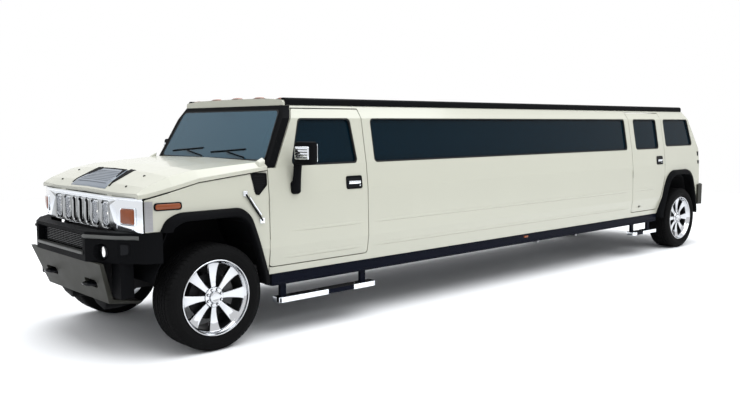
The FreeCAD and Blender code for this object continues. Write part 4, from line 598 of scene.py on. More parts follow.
@piece("Grille_shell", [CHROME, BLACK_GLOSS, SHADED_GRILLE_CHROME], "chrome", replaced="grille")
def grille_shell(mesh):
    holes = [rounded(rectangle(left, right, SLOT_LOW, SLOT_HIGH), 0.034) for left, right in SLOTS]
    face = rectangle(-GRILLE_HALF, GRILLE_HALF, GRILLE_FOOT, GRILLE_TOP)
    plate(mesh, face, holes, "y", GRILLE_FACE, GRILLE_BACK)
    for sign in (1, -1):
        outline = [(GRILLE_HALF, GRILLE_FACE), (CORNER_HALF, CORNER_PLACE), (CORNER_HALF, -0.5605),
                   (0.89, -0.5605), (GRILLE_HALF, GRILLE_BACK)]
        prism(mesh, [(x * sign, y) for x, y in outline], "z", (GRILLE_FOOT, GRILLE_TOP))
    soften(mesh, 0.007, 3)
    for left, right in SLOTS:
        slot = rectangle(left + 0.001, right - 0.001, SLOT_LOW + 0.001, SLOT_HIGH - 0.001)
        outer = rounded(slot, 0.034)
        inner = rounded(shrunk(slot, 0.01), 0.026)
        rim(mesh, on_face, (outer, -0.003), (between(outer, inner), 0.006), (inner, -0.002),
            (inner, -GRILLE_DEPTH), (outer, -GRILLE_DEPTH))
    # Within the bars' area, faces behind the front (the slots' walls and the plate's back) get gloss black as
    # painted shade in the recesses; the front faces get the darker bar chrome.
    for face in mesh.faces:
        middle = face.calc_center_median()
        if abs(middle.x) < 0.58 and 0.992 < middle.z < 1.205:
            face.material_index = 1 if middle.y > GRILLE_FACE + 0.003 else 2
    header = [(0.925, -0.577), (0.925, -0.5655), (0.655, -0.622)]
    front = GRILLE_FACE - 0.002
    outline = [(-0.925, -0.577), (-GRILLE_HALF, front), (GRILLE_HALF, front), *header,
               *[(-x, y) for x, y in header[:0:-1]]]
    prism(mesh, outline, "z", (GRILLE_TOP - 0.001, GRILLE_TOP + 0.017), soft=(0.003, 2))


@piece("Grille_mesh", [BLACK_GLOSS, BLACK], "black_plastic")
def grille_mesh(mesh):
    """Wire mesh in the three middle slots, with a black sheet behind it as painted shade."""
    for left, right in SLOTS[:3]:
        count = max(3, round((right - left) / 0.016))
        for i in range(1, count):
            box(mesh, about(left + (right - left) * i / count, 0.0015), (-0.611, -0.607), (0.996, 1.198))
        for z in evenly(1.0, 0.0158, 13):
            box(mesh, (left + 0.002, right - 0.002), (-0.609, -0.605), (z, z + 0.003))
        # The black sheet behind the mesh is painted shade.
        box(mesh, (left - 0.004, right + 0.004), (-0.592, -0.588), (0.985, 1.208), 1)


def lamp_outline(centre, wide, high, limit):
    """An upright oval cut off at the sides."""
    return [(centre + max(-limit, min(limit, wide * math.cos(a))), LAMP_HEIGHT + high * math.sin(a))
            for a in circle(32)]


@pair("Headlamp", [REFLECTOR, BULB, LENS, CHROME, BLACK_GLOSS], "lamp_glass", replaced="headlamps")
def headlamp(mesh):
    """Two reflectors with bulbs behind cut-off lenses, each with a chrome edge, and their housing."""
    for centre in LAMP_PLACES:
        bowl = ((0.0, 0.082), (0.012, 0.08), (0.026, 0.066), (0.034, 0.04), (0.037, 0.012))
        stack(mesh, on_face, *[(lamp_outline(centre, radius * 1.1, radius * 1.12, 0.064), -0.011 - depth)
                               for depth, radius in bowl], caps=False)
        turned_along(mesh, (centre, -0.602, LAMP_HEIGHT), (0, -1, 0),
                     [(0, 0.014), (0.012, 0.016), (0.022, 0.012), (0.027, 0.004)], 16, 1)
        lens = lamp_outline(centre, 0.09, 0.092, 0.065)
        prism(mesh, lens, "y", (-0.641, -0.637), 2)
        inner = [(x + (centre - x) * 0.09, z + (LAMP_HEIGHT - z) * 0.09) for x, z in lens]
        rim(mesh, on_face, (lens, -0.0055), (inner, -0.0035), (inner, -0.015), (lens, -0.015), material=3)
    box(mesh, (0.203, 0.529), (-0.5895, -0.566), (0.99, SLOT_HIGH), 4)


@pair("Corner_ribs", STEEL, "chrome")
def corner_ribs(mesh):
    """A ribbed metal strip behind the grille's corner."""
    ends = (-0.5595, -0.5)

    def strip(places, outs, low, high, soft=None):
        outline = [(side_x(1, ends[k]) + out, ends[k] + place)
                   for k, place, out in zip((0, 1, 1, 0), places, outs)]
        prism(mesh, outline, "z", (low, high), soft=soft)

    strip((0, 0, 0, 0), (0.0005, 0.0005, 0.005, 0.006), 0.99, 1.215, (0.0015, 2))
    for z in evenly(1.0, 0.0195, 11):
        strip((0.004, -0.004, -0.006, 0.006), (0.004, 0.003, 0.009, 0.01), z, z + 0.008)


TURN_FRAME = rectangle(0.704, 0.871, 1.032, 1.168)
TURN_LENS = shrunk(TURN_FRAME, 0.013)
MARKER_FRAME = rectangle(-0.492, -0.274, 1.142, 1.202)
MARKER_LENS = rectangle(-0.481, -0.285, 1.151, 1.193)


@pair("Turn_lamp_frame", CHROME, "chrome")
def turn_lamp_frame(mesh):
    outer = rounded(TURN_FRAME, 0.02)
    inner = rounded(TURN_LENS, 0.014)
    rim(mesh, on_corner, (outer, 0.0005), (outer, 0.008), (between(outer, inner), 0.013), (inner, 0.009),
        (inner, 0.0005))
    turned_along(mesh, on_corner(0.83, 1.005, 0.0), (0.25, -0.97, 0), [(0.0, 0.007), (0.004, 0.006)], 12)


@pair("Turn_lamp", AMBER, "amber_plastic")
def turn_lamp(mesh):
    dome(mesh, on_corner, TURN_LENS, 0.012, (0, 0.0005), (0, 0.012), (0.004, 0.019), (0.02, 0.022),
         (0.045, 0.023))


@pair("Side_marker", [AMBER, BLACK], "amber_plastic")
def side_marker(mesh):
    dome(mesh, on_side, MARKER_LENS, 0.02, (0, 0.0005), (0, 0.007), (0.003, 0.01), (0.012, 0.012))
    outer = rounded(MARKER_FRAME, 0.026)
    inner = rounded(MARKER_LENS, 0.02)
    rim(mesh, on_side, (outer, 0.0005), (outer, 0.006), (inner, 0.008), (inner, 0.0005), material=1)


@piece("Roof_lamps", [AMBER, BLACK], "amber_plastic", replaced="amber_lamps")
def roof_lamps(mesh):
    """Five lamps along the roof's front edge, each with a black foot."""
    for x in evenly(-0.72, 0.36, 5):
        lamp = rectangle(*about(x, 0.06), 0.85, 0.91)
        dome(mesh, on_roof, lamp, 0.02, (0, -0.006), (0.001, 0.006), (0.009, 0.013), (0.024, 0.016))
        dome(mesh, on_roof, lamp, 0.024, (-0.009, -0.002), (-0.009, 0.002), (-0.003, 0.005), (0, 0.005),
             material=1, caps=False)


# Front bumper

BUMPER_FACE = [(0.495, -0.83), (0.76, -0.7), (0.868, -0.605), (0.935, -0.56)]
FOG_PLACE = (0.627, -0.722, 0.83)


def on_bumper(x, z, out):
    """A point on the bumper's face, which is swept back in three steps."""
    y = BUMPER_FACE[0][1] if x <= BUMPER_FACE[0][0] else BUMPER_FACE[-1][1]
    for (x0, y0), (x1, y1) in zip(BUMPER_FACE, BUMPER_FACE[1:]):
        if x0 < x <= x1:
            y = y0 + (y1 - y0) * (x - x0) / (x1 - x0)
    return (x, y - out, z)


# The rib's grey is painted highlight along the bumper.
@pair("Bumper_rib", LEDGE_HIGHLIGHT_GREY, "grey_paint")
def bumper_rib(mesh):
    section = ((-0.002, 0.928), (0.012, 0.936), (0.014, 0.948), (0.008, 0.956), (-0.002, 0.96))
    skin(mesh, [[on_bumper(x, z, out) for out, z in section]
                for x in (0.475, 0.495, 0.56, 0.64, 0.72, 0.76, 0.81, 0.868, 0.895)])


# The ledge's grey is painted highlight along the bumper.
@piece("Bumper_ledge", LEDGE_HIGHLIGHT_GREY, "grey_paint")
def bumper_ledge(mesh):
    box(mesh, (-0.455, 0.455), (-0.842, -0.79), (0.8, 0.822), soft=(0.006, 3))


@piece("Intake_bars", BLACK_GLOSS, "black_plastic")
def intake_bars(mesh):
    for z in evenly(0.832, 0.014, 9):
        box(mesh, (-0.446, 0.446), (-0.792, -0.776), (z, z + 0.005))
    for x in evenly(-0.42, 0.06, 15):
        box(mesh, about(x, 0.002), (-0.785, -0.772), (0.818, 0.952))


@pair("Fog_lamp", [REFLECTOR, BLACK_GLOSS, BULB], "lamp_glass")
def fog_lamp(mesh):
    x, y, z = FOG_PLACE
    ahead = (0, -1, 0)
    turned_along(mesh, FOG_PLACE, ahead, [(0, 0.056), (0.022, 0.057), (0.028, 0.054), (0.028, 0.05)], 36, 1)
    turned_along(mesh, FOG_PLACE, ahead, [(0.02, 0.05), (0.026, 0.05), (0.033, 0.035), (0.035, 0.01)], 36)
    turned_along(mesh, (x, y + 0.022, z), ahead, [(0.026, 0.012), (0.032, 0.01)], 12, 2)


@pair("Bumper_pocket", [BLACK, BLACK_GLOSS], "black_plastic")
def bumper_pocket(mesh):
    """A dark pocket outboard of the fog lamp, with a moulded edge."""
    outer = rounded([(0.772, 0.8), (0.84, 0.815), (0.84, 0.9), (0.772, 0.905)], 0.018)
    inner = rounded([(0.782, 0.811), (0.83, 0.824), (0.83, 0.891), (0.782, 0.895)], 0.012)
    rim(mesh, on_bumper, (outer, -0.001), (outer, 0.004), (inner, 0.004), (inner, -0.001))
    stack(mesh, on_bumper, (inner, 0.001), (inner, -0.001), material=1)


@pair("Tow_loop", BLACK_GLOSS, "frame_paint")
def tow_loop(mesh):
    path = [(0.33, -0.66, 0.556), (0.33, -0.75, 0.556), (0.34, -0.785, 0.557), (0.365, -0.8, 0.558),
            (0.41, -0.8, 0.558), (0.435, -0.785, 0.557), (0.445, -0.75, 0.556), (0.445, -0.66, 0.556)]
    tube(mesh, path, 0.012)


@pair("Stone_guard", BLACK, "black_plastic")
def stone_guard(mesh):
    """A pointed guard under the skid plate; each level has its sides and the heights of front and rear."""
    levels = ((0.2, 0.45, -0.66, -0.42, 0.405, 0.372), (0.235, 0.41, -0.645, -0.45, 0.36, 0.345),
              (0.3, 0.335, -0.62, -0.5, 0.318, 0.316))
    skin(mesh, [[(left, front, high), (right, front, high), (right, rear, low), (left, rear, low)]
                for left, right, front, rear, high, low in levels])
    soften(mesh, 0.006, 2)


# Body trim

PANE_FOOT = 1.431
PANE_TOP = 1.833
FRONT_DOOR = "front_door_{}"
REAR_DOOR = "rear_door_{}"
PANES = (("Seal_front", FRONT_DOOR, [(0.777, PANE_FOOT), (1.533, PANE_FOOT), (1.493, PANE_TOP),
                                     (0.906, PANE_TOP)]),
         ("Seal_rear", REAR_DOOR, rectangle(6.494, 7.109, PANE_FOOT, PANE_TOP)),
         ("Seal_long", ROOT, rectangle(1.741, 6.277, PANE_FOOT, PANE_TOP)),
         ("Seal_quarter", ROOT, [(7.312, 1.457), (8.109, 1.457), (8.039, PANE_TOP), (7.312, PANE_TOP)]))


@pair("Gutter", BLACK, "black_plastic", angle=25)
def gutter(mesh):
    """Black gutter band round the roof's edge, from the windscreen to the tail."""
    section = [(0.796, 1.9455), (0.812, 1.9455), (0.8135, 1.95), (0.8135, 1.986), (0.81, 1.997),
               (0.801, 2.006),
               (0.787, 2.011), (0.765, 2.0115), (0.74, roof_z(0.74)), (0.765, 1.985), (0.8, 1.97)]
    prism(mesh, section, "y", (0.83, 7.998))


def band(mesh, outer, inner, low, high):
    rim(mesh, on_side, (outer, low), (outer, high), (inner, high), (inner, low))


for name, body, pane in PANES:
    @pair(name, RUBBER, "black_plastic", body)
    def pane_seal(mesh):
        band(mesh, rounded(pane, 0.04), rounded(shrunk(pane, 0.012), 0.034), -0.023, -0.004)


@pair("Pane_wiper", RUBBER, "black_plastic", FRONT_DOOR)
def pane_wiper(mesh):
    """Rubber wiper strip at the foot of the front door's pane."""
    outline = [(0.8, 1.432), (1.52, 1.432), (1.518, 1.444), (0.804, 1.444)]
    stack(mesh, on_side, (outline, -0.018), (outline, -0.001))


for name, body, front, rear, low, high in (("Front_handle", FRONT_DOOR, 1.375, 1.565, 1.2, 1.318),
                                           ("Rear_handle", REAR_DOOR, 7.02, 7.19, 1.215, 1.33)):
    @pair(name, [BLACK, BLACK_GLOSS, CHROME], "chrome", body)
    def door_handle(mesh):
        """A grip across a dark hollow with a raised lip, and a lock below it."""
        corners = rectangle(front, rear, low, high)
        outer = rounded(corners, 0.022)
        hollow = rounded(shrunk(corners, 0.016), 0.014)
        rim(mesh, on_side, (outer, 0.0005), (outer, 0.005), (rounded(shrunk(corners, 0.008), 0.018), 0.006),
            (hollow, 0.0015), (hollow, 0.0003))
        stack(mesh, on_side, (hollow, 0.0004), (hollow, 0.0012), material=1)
        middle = (low + high) / 2
        face = side_x(middle)
        section = ((0.006, -0.013), (0.009, 0), (0.006, 0.013), (-0.002, 0.012), (-0.003, -0.012))
        rings = []
        for t in (k / 8 for k in range(9)):
            reach = face + 0.004 + 0.012 * math.sin(math.pi * min(1, max(0.12, t)) * 0.9)
            y = front + 0.026 + (rear - front - 0.052) * t
            rings.append([(reach + out, y, middle + up) for out, up in section])
        skin(mesh, rings, material=2)
        turned_along(mesh, (face + 0.001, rear - 0.024, middle - 0.032), (1, 0, 0),
                     [(0, 0.008), (0.004, 0.007)], 14, 2)


@pair("Fender_vent", [BLACK, BLACK_GLOSS], "black_plastic")
def fender_vent(mesh):
    corners = [(0.36, 1.392), (0.518, 1.384), (0.516, 1.286), (0.429, 1.206), (0.397, 1.214)]
    inner = rounded(shrunk(corners, 0.012), 0.006)
    band(mesh, rounded(corners, 0.01), inner, 0.0005, 0.006)
    stack(mesh, on_side, (inner, 0.0004), (inner, 0.0012), material=1)
    for z in evenly(1.235, 0.019, 8):
        left = max(0.383, 0.383 + (1.25 - z) * 0.3)
        right = min(0.503, 0.503 - (1.29 - z) * 1.05)
        slat = rectangle(left, right, z, z + 0.007)
        stack(mesh, on_side, (slat, 0.001), (slat, 0.007))


@pair("Hood_latch", [BLACK_GLOSS, CHROME], "chrome")
def hood_latch(mesh):
    """Diagonal hood latch: a black strap over a chrome rod between two feet."""
    path = [(0.297, 1.225), (0.318, 1.19), (0.37, 1.115), (0.425, 1.04), (0.452, 0.998)]
    tube(mesh, [(side_x(z) + 0.014, y, z) for y, z in path], 0.008, 8)
    tube(mesh, [(side_x(z) + 0.016, y + 0.014, z + 0.008) for y, z in path[1:-1]], 0.007, 8, material=1)
    for y, z, half in ((0.295, 1.228, 0.02), (0.452, 0.998, 0.022)):
        foot = rounded(rectangle(*about(y, half), *about(z, half)), 0.008)
        stack(mesh, on_side, (foot, 0.0005), (foot, 0.013), material=1)


# Hood

# The height of the hood's middle at places along it, read off the solid
HOOD_MIDDLE = [(-0.6, 1.272), (-0.53, 1.33), (-0.34, 1.418), (-0.118, 1.452), (0.52, 1.488)]
VENT_FRONT = -0.578
VENT_REAR = -0.352
VENT_HALF_FRONT = 0.325
VENT_HALF_REAR = 0.235


def on_deck(x, y, out):
    """A point on the hood's deck, moved up."""
    for (y0, z0), (y1, z1) in zip(HOOD_MIDDLE, HOOD_MIDDLE[1:]):
        if y0 <= y <= y1:
            middle = z0 + (z1 - z0) * (y - y0) / (y1 - y0)
    return (x, y, middle - 0.008 * abs(x) / 0.6 + out)


def vent_half(y):
    """The half width of the hood's vent panel."""
    return VENT_HALF_FRONT + (VENT_HALF_REAR - VENT_HALF_FRONT) * (y - VENT_FRONT) / (VENT_REAR - VENT_FRONT)


@piece("Hood_vent", [VENT_BLUE, BLACK_GLOSS, BLACK, VENT_RIB], "grey_paint", "hood_body")
def hood_vent(mesh):
    """A ribbed panel on the hood's deck, with a lip round it, black wedges beside it as painted shade of
    recesses, and round bolts.
    """
    rows = (VENT_FRONT, -0.555, -0.53, -0.48, -0.43, -0.38, VENT_REAR)
    skin(mesh, [[on_deck(vent_half(y) * t, y, 0.007) for t in (-1, -0.6, -0.2, 0.2, 0.6, 1)] for y in rows],
         closed_ring=False, caps=False)
    corners = [(vent_half(y) * sign, y) for y, sign in ((VENT_FRONT, 1), (VENT_REAR, 1), (VENT_REAR, -1),
                                                        (VENT_FRONT, -1))]
    edge = []
    for (x0, y0), (x1, y1) in zip(corners, corners[1:] + corners[:1]):
        edge += [(x0 + (x1 - x0) * t / 6, y0 + (y1 - y0) * t / 6) for t in range(6)]
    middle = (VENT_FRONT + VENT_REAR) / 2
    wide = [(x * 1.03, middle + (y - middle) * 1.06) for x, y in edge]
    rim(mesh, on_deck, (edge, 0.0072), (wide, 0.004), (wide, -0.002), (edge, -0.002))
    for sign in (1, -1):
        # The black wedges beside the panel are painted shade for recesses.
        rings = []
        for t in (k / 6 for k in range(7)):
            y = -0.56 + 0.235 * t
            inner = (vent_half(min(y, VENT_REAR)) + 0.026) * sign
            outer = inner + (0.022 + 0.07 * t) * sign
            rings.append([on_deck(inner, y, -0.002), on_deck(inner, y, 0.006), on_deck(outer, y, 0.003),
                          on_deck(outer, y, -0.002)])
        skin(mesh, rings, material=2)
        rings = []
        for t in range(5):
            y = -0.46 + 0.108 * t / 4
            deck = on_deck(vent_half(y), y, 0)[2]
            reach = -0.012 - 0.012 * t
            strip = ((0.002, 0.0078), (0.002, 0.0095), (reach, 0.0095), (reach, 0.0078))
            rings.append([((vent_half(y) + side) * sign, y, deck + up) for side, up in strip])
        skin(mesh, rings, material=2)
        for y in (-0.54, -0.39):
            bolt = on_deck(0.62 * sign, y, -0.004)
            turned_along(mesh, bolt, (0, -0.25, 1), [(0, 0.011), (0.006, 0.01), (0.009, 0.006)], 14, 2)
    lip = ((-0.36, 0.007), (-0.36, 0.0085), (-0.345, 0.008), (-0.345, 0.001))
    skin(mesh, [[on_deck(x, y, up) for y, up in lip] for x in evenly(-VENT_HALF_REAR, 0.047, 11)], material=2)
    for y in evenly(-0.545, 0.022, 8):
        rib = ((-0.004, 0.0071), (0, 0.0105), (0.004, 0.0071))
        rings = []
        for share in (-1, -0.33, 0.33, 1):
            x = vent_half(y) * 0.86 * share
            deck = on_deck(x, y, 0)[2]
            rings.append([(x, y + ahead, deck + up) for ahead, up in rib])
        skin(mesh, rings, material=3)


@pair("Hood_corner", WHITE, "white_paint", "hood_body")
def hood_corner(mesh):
    """Raised corner block of the hood at the windscreen's foot."""
    skin(mesh, [[(0.9, 0.505, 1.466), (0.962, 0.505, 1.438), (0.962, 0.44, 1.436), (0.9, 0.44, 1.462)],
                [(0.905, 0.515, 1.512), (0.955, 0.515, 1.49), (0.952, 0.46, 1.472), (0.91, 0.46, 1.487)]])
    soften(mesh, 0.008, 3)


# Windscreen

SCREEN_EDGE = rounded([(-0.884, 1.477), (0.884, 1.477), (0.8, 1.908), (-0.8, 1.908)], 0.05)
SCREEN_PANE = rounded([(-0.872, 1.487), (0.872, 1.487), (0.79, 1.899), (-0.79, 1.899)], 0.045)


@piece("Screen_seal", RUBBER, "black_plastic")
def screen_seal(mesh):
    rim(mesh, on_screen, (SCREEN_EDGE, -0.002), (SCREEN_EDGE, 0.008), (SCREEN_PANE, 0.007),
        (SCREEN_PANE, -0.002))


@piece("Windscreen_pane", SCREEN_GLASS, "dark_glass")
def windscreen_pane(mesh):
    stack(mesh, on_screen, (SCREEN_PANE, 0.0005), (SCREEN_PANE, 0.0055))


for name, pivot in (("Wiper_1", 0.62), ("Wiper_2", -0.08)):
    @piece(name, BLACK, "black_plastic")
    def wiper(mesh):
        arm = ((0, 1.452), (-0.05, 1.5), (-0.3, 1.535), (-0.36, 1.545))
        tube(mesh, [on_screen(pivot + x, z, 0.016) for x, z in arm], 0.006, 8)
        blade = [on_screen(pivot - 0.62 + 0.06 * k, 1.532 + 0.004 * k, 0.008) for k in range(10)]
        tube(mesh, blade, 0.006, 6, flat=1.4)
        turned_along(mesh, on_screen(pivot, 1.452, -0.002), (0, -1, 0.5),
                     [(0, 0.018), (0.014, 0.016), (0.02, 0.008)], 16)


@piece("Cowl_grille", BLACK, "black_plastic")
def cowl_grille(mesh):
    section = [(0.5285, 1.4305), (0.5365, 1.4305), (0.554, 1.47), (0.546, 1.476), (0.5285, 1.452)]
    prism(mesh, section, "x", (-0.86, 0.86))
    for x in evenly(-0.8, 0.041, 40):
        box(mesh, about(x, 0.006), (0.523, 0.5285), (1.434, 1.45))
    soften(mesh, 0.002, 2)


@piece("Inside_mirror", BLACK_GLOSS, "black_plastic")
def inside_mirror(mesh):
    box(mesh, (-0.12, 0.12), (0.758, 0.77), (1.8, 1.87), soft=(0.006, 3))
    tube(mesh, [on_screen(0, 1.9, -0.05), (0, 0.77, 1.86)], 0.008, 8)


# Mirrors

MIRROR_HEAD = 1.13
MIRROR_MIDDLE = 0.8


def on_mirror(x, z, out):
    """A point on the mirror head's front, which is a little swept."""
    return (x, 0.745 + 0.02 * (x - 1.03) / 0.2 - out, z)


@pair("Mirror", [BLACK, MIRROR_GLASS, CHROME, BLACK_GLOSS], "chrome", FRONT_DOOR, "mirror_{}")
def mirror(mesh):
    """A head with a chrome face and its glass, on an arm that rises from a foot on the door."""
    head = rounded([(1.03, 0.745), (1.23, 0.765), (1.23, 0.853), (1.03, 0.855)], 0.03)
    levels = ((1.447, -0.02), (1.452, -0.006), (1.47, 0), (1.615, 0), (1.632, -0.006), (1.638, -0.02))
    rings = []
    for z, grow in levels:
        wide = 1 + grow / 0.1
        deep = 1 + grow / 0.055
        rings.append([(MIRROR_HEAD + (x - MIRROR_HEAD) * wide, MIRROR_MIDDLE + (y - MIRROR_MIDDLE) * deep, z)
                      for x, y in head])
    skin(mesh, rings)
    arm = ((0.992, 1.225, 0.046, 0.026), (1.0, 1.29, 0.042, 0.025), (1.008, 1.36, 0.04, 0.025),
           (1.017, 1.43, 0.04, 0.028),
           (1.028, 1.5, 0.042, 0.03), (1.036, 1.59, 0.04, 0.028), (1.045, 1.62, 0.03, 0.02))
    skin(mesh, [[(x + deep * math.cos(a), MIRROR_MIDDLE + wide * math.sin(a), z + 0.3 * deep * math.sin(a))
                 for a in circle(16)] for x, z, wide, deep in arm])
    foot = rounded(rectangle(*about(MIRROR_MIDDLE, 0.045), 1.192, 1.306), 0.035)
    skin(mesh, [[(side_x(z) + out, MIRROR_MIDDLE + (y - MIRROR_MIDDLE) * size, 1.25 + (z - 1.25) * size)
                 for y, z in foot]
                for out, size in ((0.0005, 1), (0.02, 0.97), (0.032, 0.86))])
    glass = rounded(rectangle(1.045, 1.215, 1.465, 1.62), 0.02)
    skin(mesh, [[(x, y, z) for x, z in glass] for y in (0.853, 0.857)], material=1)
    face = rounded(rectangle(1.05, 1.215, 1.49, 1.6), 0.015)
    rings = []
    for grow, out in ((0, -0.001), (0.002, 0.006), (0.012, 0.009)):
        rings.append([(1.1325 + (x - 1.1325) * (1 - grow / 0.08), on_mirror(x, z, out)[1],
                       1.545 + (z - 1.545) * (1 - grow / 0.055)) for x, z in face])
    skin(mesh, rings, material=2)
    for z in evenly(1.508, 0.022, 4):
        tube(mesh, [on_mirror(x, z, 0.009) for x in (1.062, 1.203)], 0.004, 6, material=3)


# Wheel arch flares

FLARE_FOOT = 0.474
REAR_ARCH_PLACE = 7.69
REAR_ARCH_BASE = 0.425
FRONT_ARCH = [(-0.373, 0.981), (-0.36, 1.008), (-0.275, 1.052), (0.225, 1.052), (0.305, 0.9893),
              (0.3725, 0.8012), (0.45, 0.5316), (0.45, FLARE_FOOT)]
FRONT_FLARE = [(-0.452, 0.981), (-0.409, 1.071), (-0.312, 1.12), (0.2556, 1.12), (0.3465, 1.0505),
               (0.4232, 0.842), (0.5112, 0.5431), (0.5112, FLARE_FOOT)]
# The rear arch as shares of its half width and of its height over its base
REAR_ARCH_SHARES = [(-1.06, 0.17), (-0.8, 0.7), (-0.65, 0.9), (-0.42, 1), (0.4, 1), (0.6, 0.9), (0.75, 0.6),
                    (0.88, 0.17)]


def rear_arch(half, height):
    points = [(half * a + REAR_ARCH_PLACE, REAR_ARCH_BASE + height * b) for a, b in REAR_ARCH_SHARES]
    return [(points[0][0], FLARE_FOOT), *points, (points[-1][0], FLARE_FOOT)]


def smooth(corners):
    """An open line with its corners rounded."""
    points = [corners[0]]
    for before, here, behind in zip(corners, corners[1:], corners[2:]):
        points += corner_arc(before, here, behind, 0.07, 0.45, 5)
    return points + [corners[-1]]


@pair("Arch_flare", BLACK, "black_plastic", replaced="wheel_arch_flares", angle=30)
def arch_flare(mesh):
    lip = ((0, 1.016), (0.05, 1.026), (0.14, 1.03), (0.55, 1.024), (0.86, 1.008))
    for arch, flare in ((FRONT_ARCH, FRONT_FLARE), (rear_arch(0.5, 0.627), rear_arch(0.568, 0.695))):
        rings = []
        for (y0, z0), (y1, z1) in zip(smooth(arch), smooth(flare)):
            body = side_x(z1, y1)
            section = ((0, side_x(z0, y0) - 0.03), *lip, (0.97, body + 0.012), (1, body + 0.0005),
                       (0.9, body - 0.004))
            rings.append([(x, y0 + (y1 - y0) * t, z0 + (z1 - z0) * t) for t, x in section])
        skin(mesh, rings)


# Wheels

# Distances from the tyre's middle and radii of its shell, and of the three tread blocks on each half
CARCASS = [(0.0, 0.4165), (0.055, 0.4165), (0.103, 0.4158), (0.118, 0.4138), (0.1275, 0.409), (0.1365, 0.4),
           (0.1445, 0.385), (0.1472, 0.374), (0.15, 0.371), (0.15, 0.355), (0.1475, 0.352), (0.1455, 0.337),
           (0.142, 0.328), (0.1375, 0.3215), (0.1345, 0.3125), (0.13, 0.3035)]
TREAD_BLOCKS = 64
# Each block: its section, its place in the pitch and its slant
TREAD_ROWS = [([(0.002, 0.412), (0.003, 0.4247), (0.026, 0.4247), (0.027, 0.412)], 0.0, 1.6),
              ([(0.035, 0.412), (0.036, 0.4247), (0.069, 0.4246), (0.07, 0.412)], 0.4, -1.8),
              ([(0.078, 0.411), (0.079, 0.4246), (0.108, 0.4238), (0.12, 0.421), (0.1295, 0.4145),
                (0.136, 0.4055), (0.137, 0.399), (0.13, 0.4)], 0.15, 0.8)]


@piece("Treaded_tyre", TYRE, None, "wheel_{}", "tyre_{}", 30, WHEELS)
def treaded_tyre(mesh):
    inner_half = [(-offset, radius) for offset, radius in reversed(CARCASS[1:])]
    lathe(mesh, [(TYRE_MIDDLE + offset, radius) for offset, radius in inner_half + CARCASS], 80)
    pitch = 2 * math.pi / TREAD_BLOCKS
    for k in range(TREAD_BLOCKS):
        for sign, shift in ((1, 0.0), (-1, 0.5)):
            for section, extra, slant in TREAD_ROWS:
                turn = (k + shift + extra) * pitch
                skin(mesh, [[wheel_point(TYRE_MIDDLE + offset * sign, radius,
                                         turn + pitch * share + slant * offset)
                             for offset, radius in section] for share in (0.04, 0.94)])


RIM_PROFILE = [(1.006, 0.3025), (1.0085, 0.299), (1.0075, 0.2945), (1.003, 0.292), (0.998, 0.2905),
               (0.99, 0.2885),
               (0.982, 0.283), (0.972, 0.2745), (0.957, 0.2675), (0.94, 0.264), (0.92, 0.262), (0.745, 0.262),
               (0.736, 0.268), (0.734, 0.3025), (0.742, 0.3025), (0.748, 0.29), (0.775, 0.2705),
               (0.956, 0.2735), (0.974, 0.2835), (0.984, 0.2935), (0.992, 0.3025)]
HUB_PROFILE = [(0.868, 0.05), (0.868, 0.082), (0.95, 0.086), (0.962, 0.0835), (0.968, 0.078), (0.968, 0.052),
               (0.965, 0.0505), (0.965, 0.0485), (0.974, 0.0475), (0.9815, 0.043), (0.9838, 0.034),
               (0.9825, 0.031), (0.9825, 0.0006), (0.94, 0.0006), (0.94, 0.05)]
BRAKE_DISC = [(0.868, 0.08), (0.868, 0.185), (0.8755, 0.185), (0.8755, 0.12), (0.8825, 0.12), (0.8825, 0.185),
              (0.89, 0.185), (0.89, 0.112), (0.905, 0.1), (0.905, 0.08)]
SPOKES = 8
SPOKE_BACK = 0.918
# Radius, place of the face and half width of a spoke from the hub to the rim
SPOKE_STATIONS = [(0.06, 0.956, 0.022), (0.085, 0.9575, 0.0235), (0.12, 0.953, 0.026), (0.16, 0.9515, 0.031),
                  (0.2, 0.9535, 0.037), (0.24, 0.959, 0.044), (0.262, 0.966, 0.05), (0.274, 0.9715, 0.056)]


def spoke_section(face, half):
    """The half of a spoke's section from its back to its middle, and the same mirrored."""
    left = [(-half * 0.8, SPOKE_BACK), (-half, face - 0.016), (-half + 0.004, face - 0.002),
            (-half * 0.5, face)]
    return [*left, (0, face - 0.0035), *[(-across, x) for across, x in left[::-1]]]


@piece("Spoked_rim", [SHADED_RIM_CHROME, DARK_METAL_AND_SHADE, DARK_METAL_AND_SHADE], None, "wheel_{}", "rim_{}", places=WHEELS)
def spoked_rim(mesh):
    """Rim with eight spokes, nuts and a valve, its hub and the brake disc behind it."""
    lathe(mesh, RIM_PROFILE, 96)
    # The rim's inside behind the spokes gets the near-black metal: painted shade between the spokes.
    for face in mesh.faces:
        middle = face.calc_center_median()
        if middle.x < 0.95 and math.hypot(middle.y, middle.z - AXLE_HEIGHT) < 0.269:
            face.material_index = 1
    for turn in circle(SPOKES):
        across = Vector((0, math.cos(turn), -math.sin(turn)))
        skin(mesh, [[wheel_point(x, radius, turn) + across * side for side, x in spoke_section(face, half)]
                    for radius, face, half in SPOKE_STATIONS])
        nut = wheel_point(0.968, 0.0645, turn + math.pi / SPOKES)
        turned_along(mesh, nut, (1, 0, 0), [(-0.004, 0.0125), (0.0006, 0.0125)], 20, 1)
        turned_along(mesh, nut, (1, 0, 0), [(0, 0.0092), (0.011, 0.0092), (0.014, 0.0065)], 6)
    lathe(mesh, HUB_PROFILE, 48)
    lathe(mesh, BRAKE_DISC, 64, 2)
    turned_along(mesh, wheel_point(0.975, 0.27, math.pi / SPOKES), (1, -0.1, -0.25),
                 [(0, 0.005), (0.02, 0.004), (0.021, 0.0055), (0.03, 0.0055)], 12, 1)


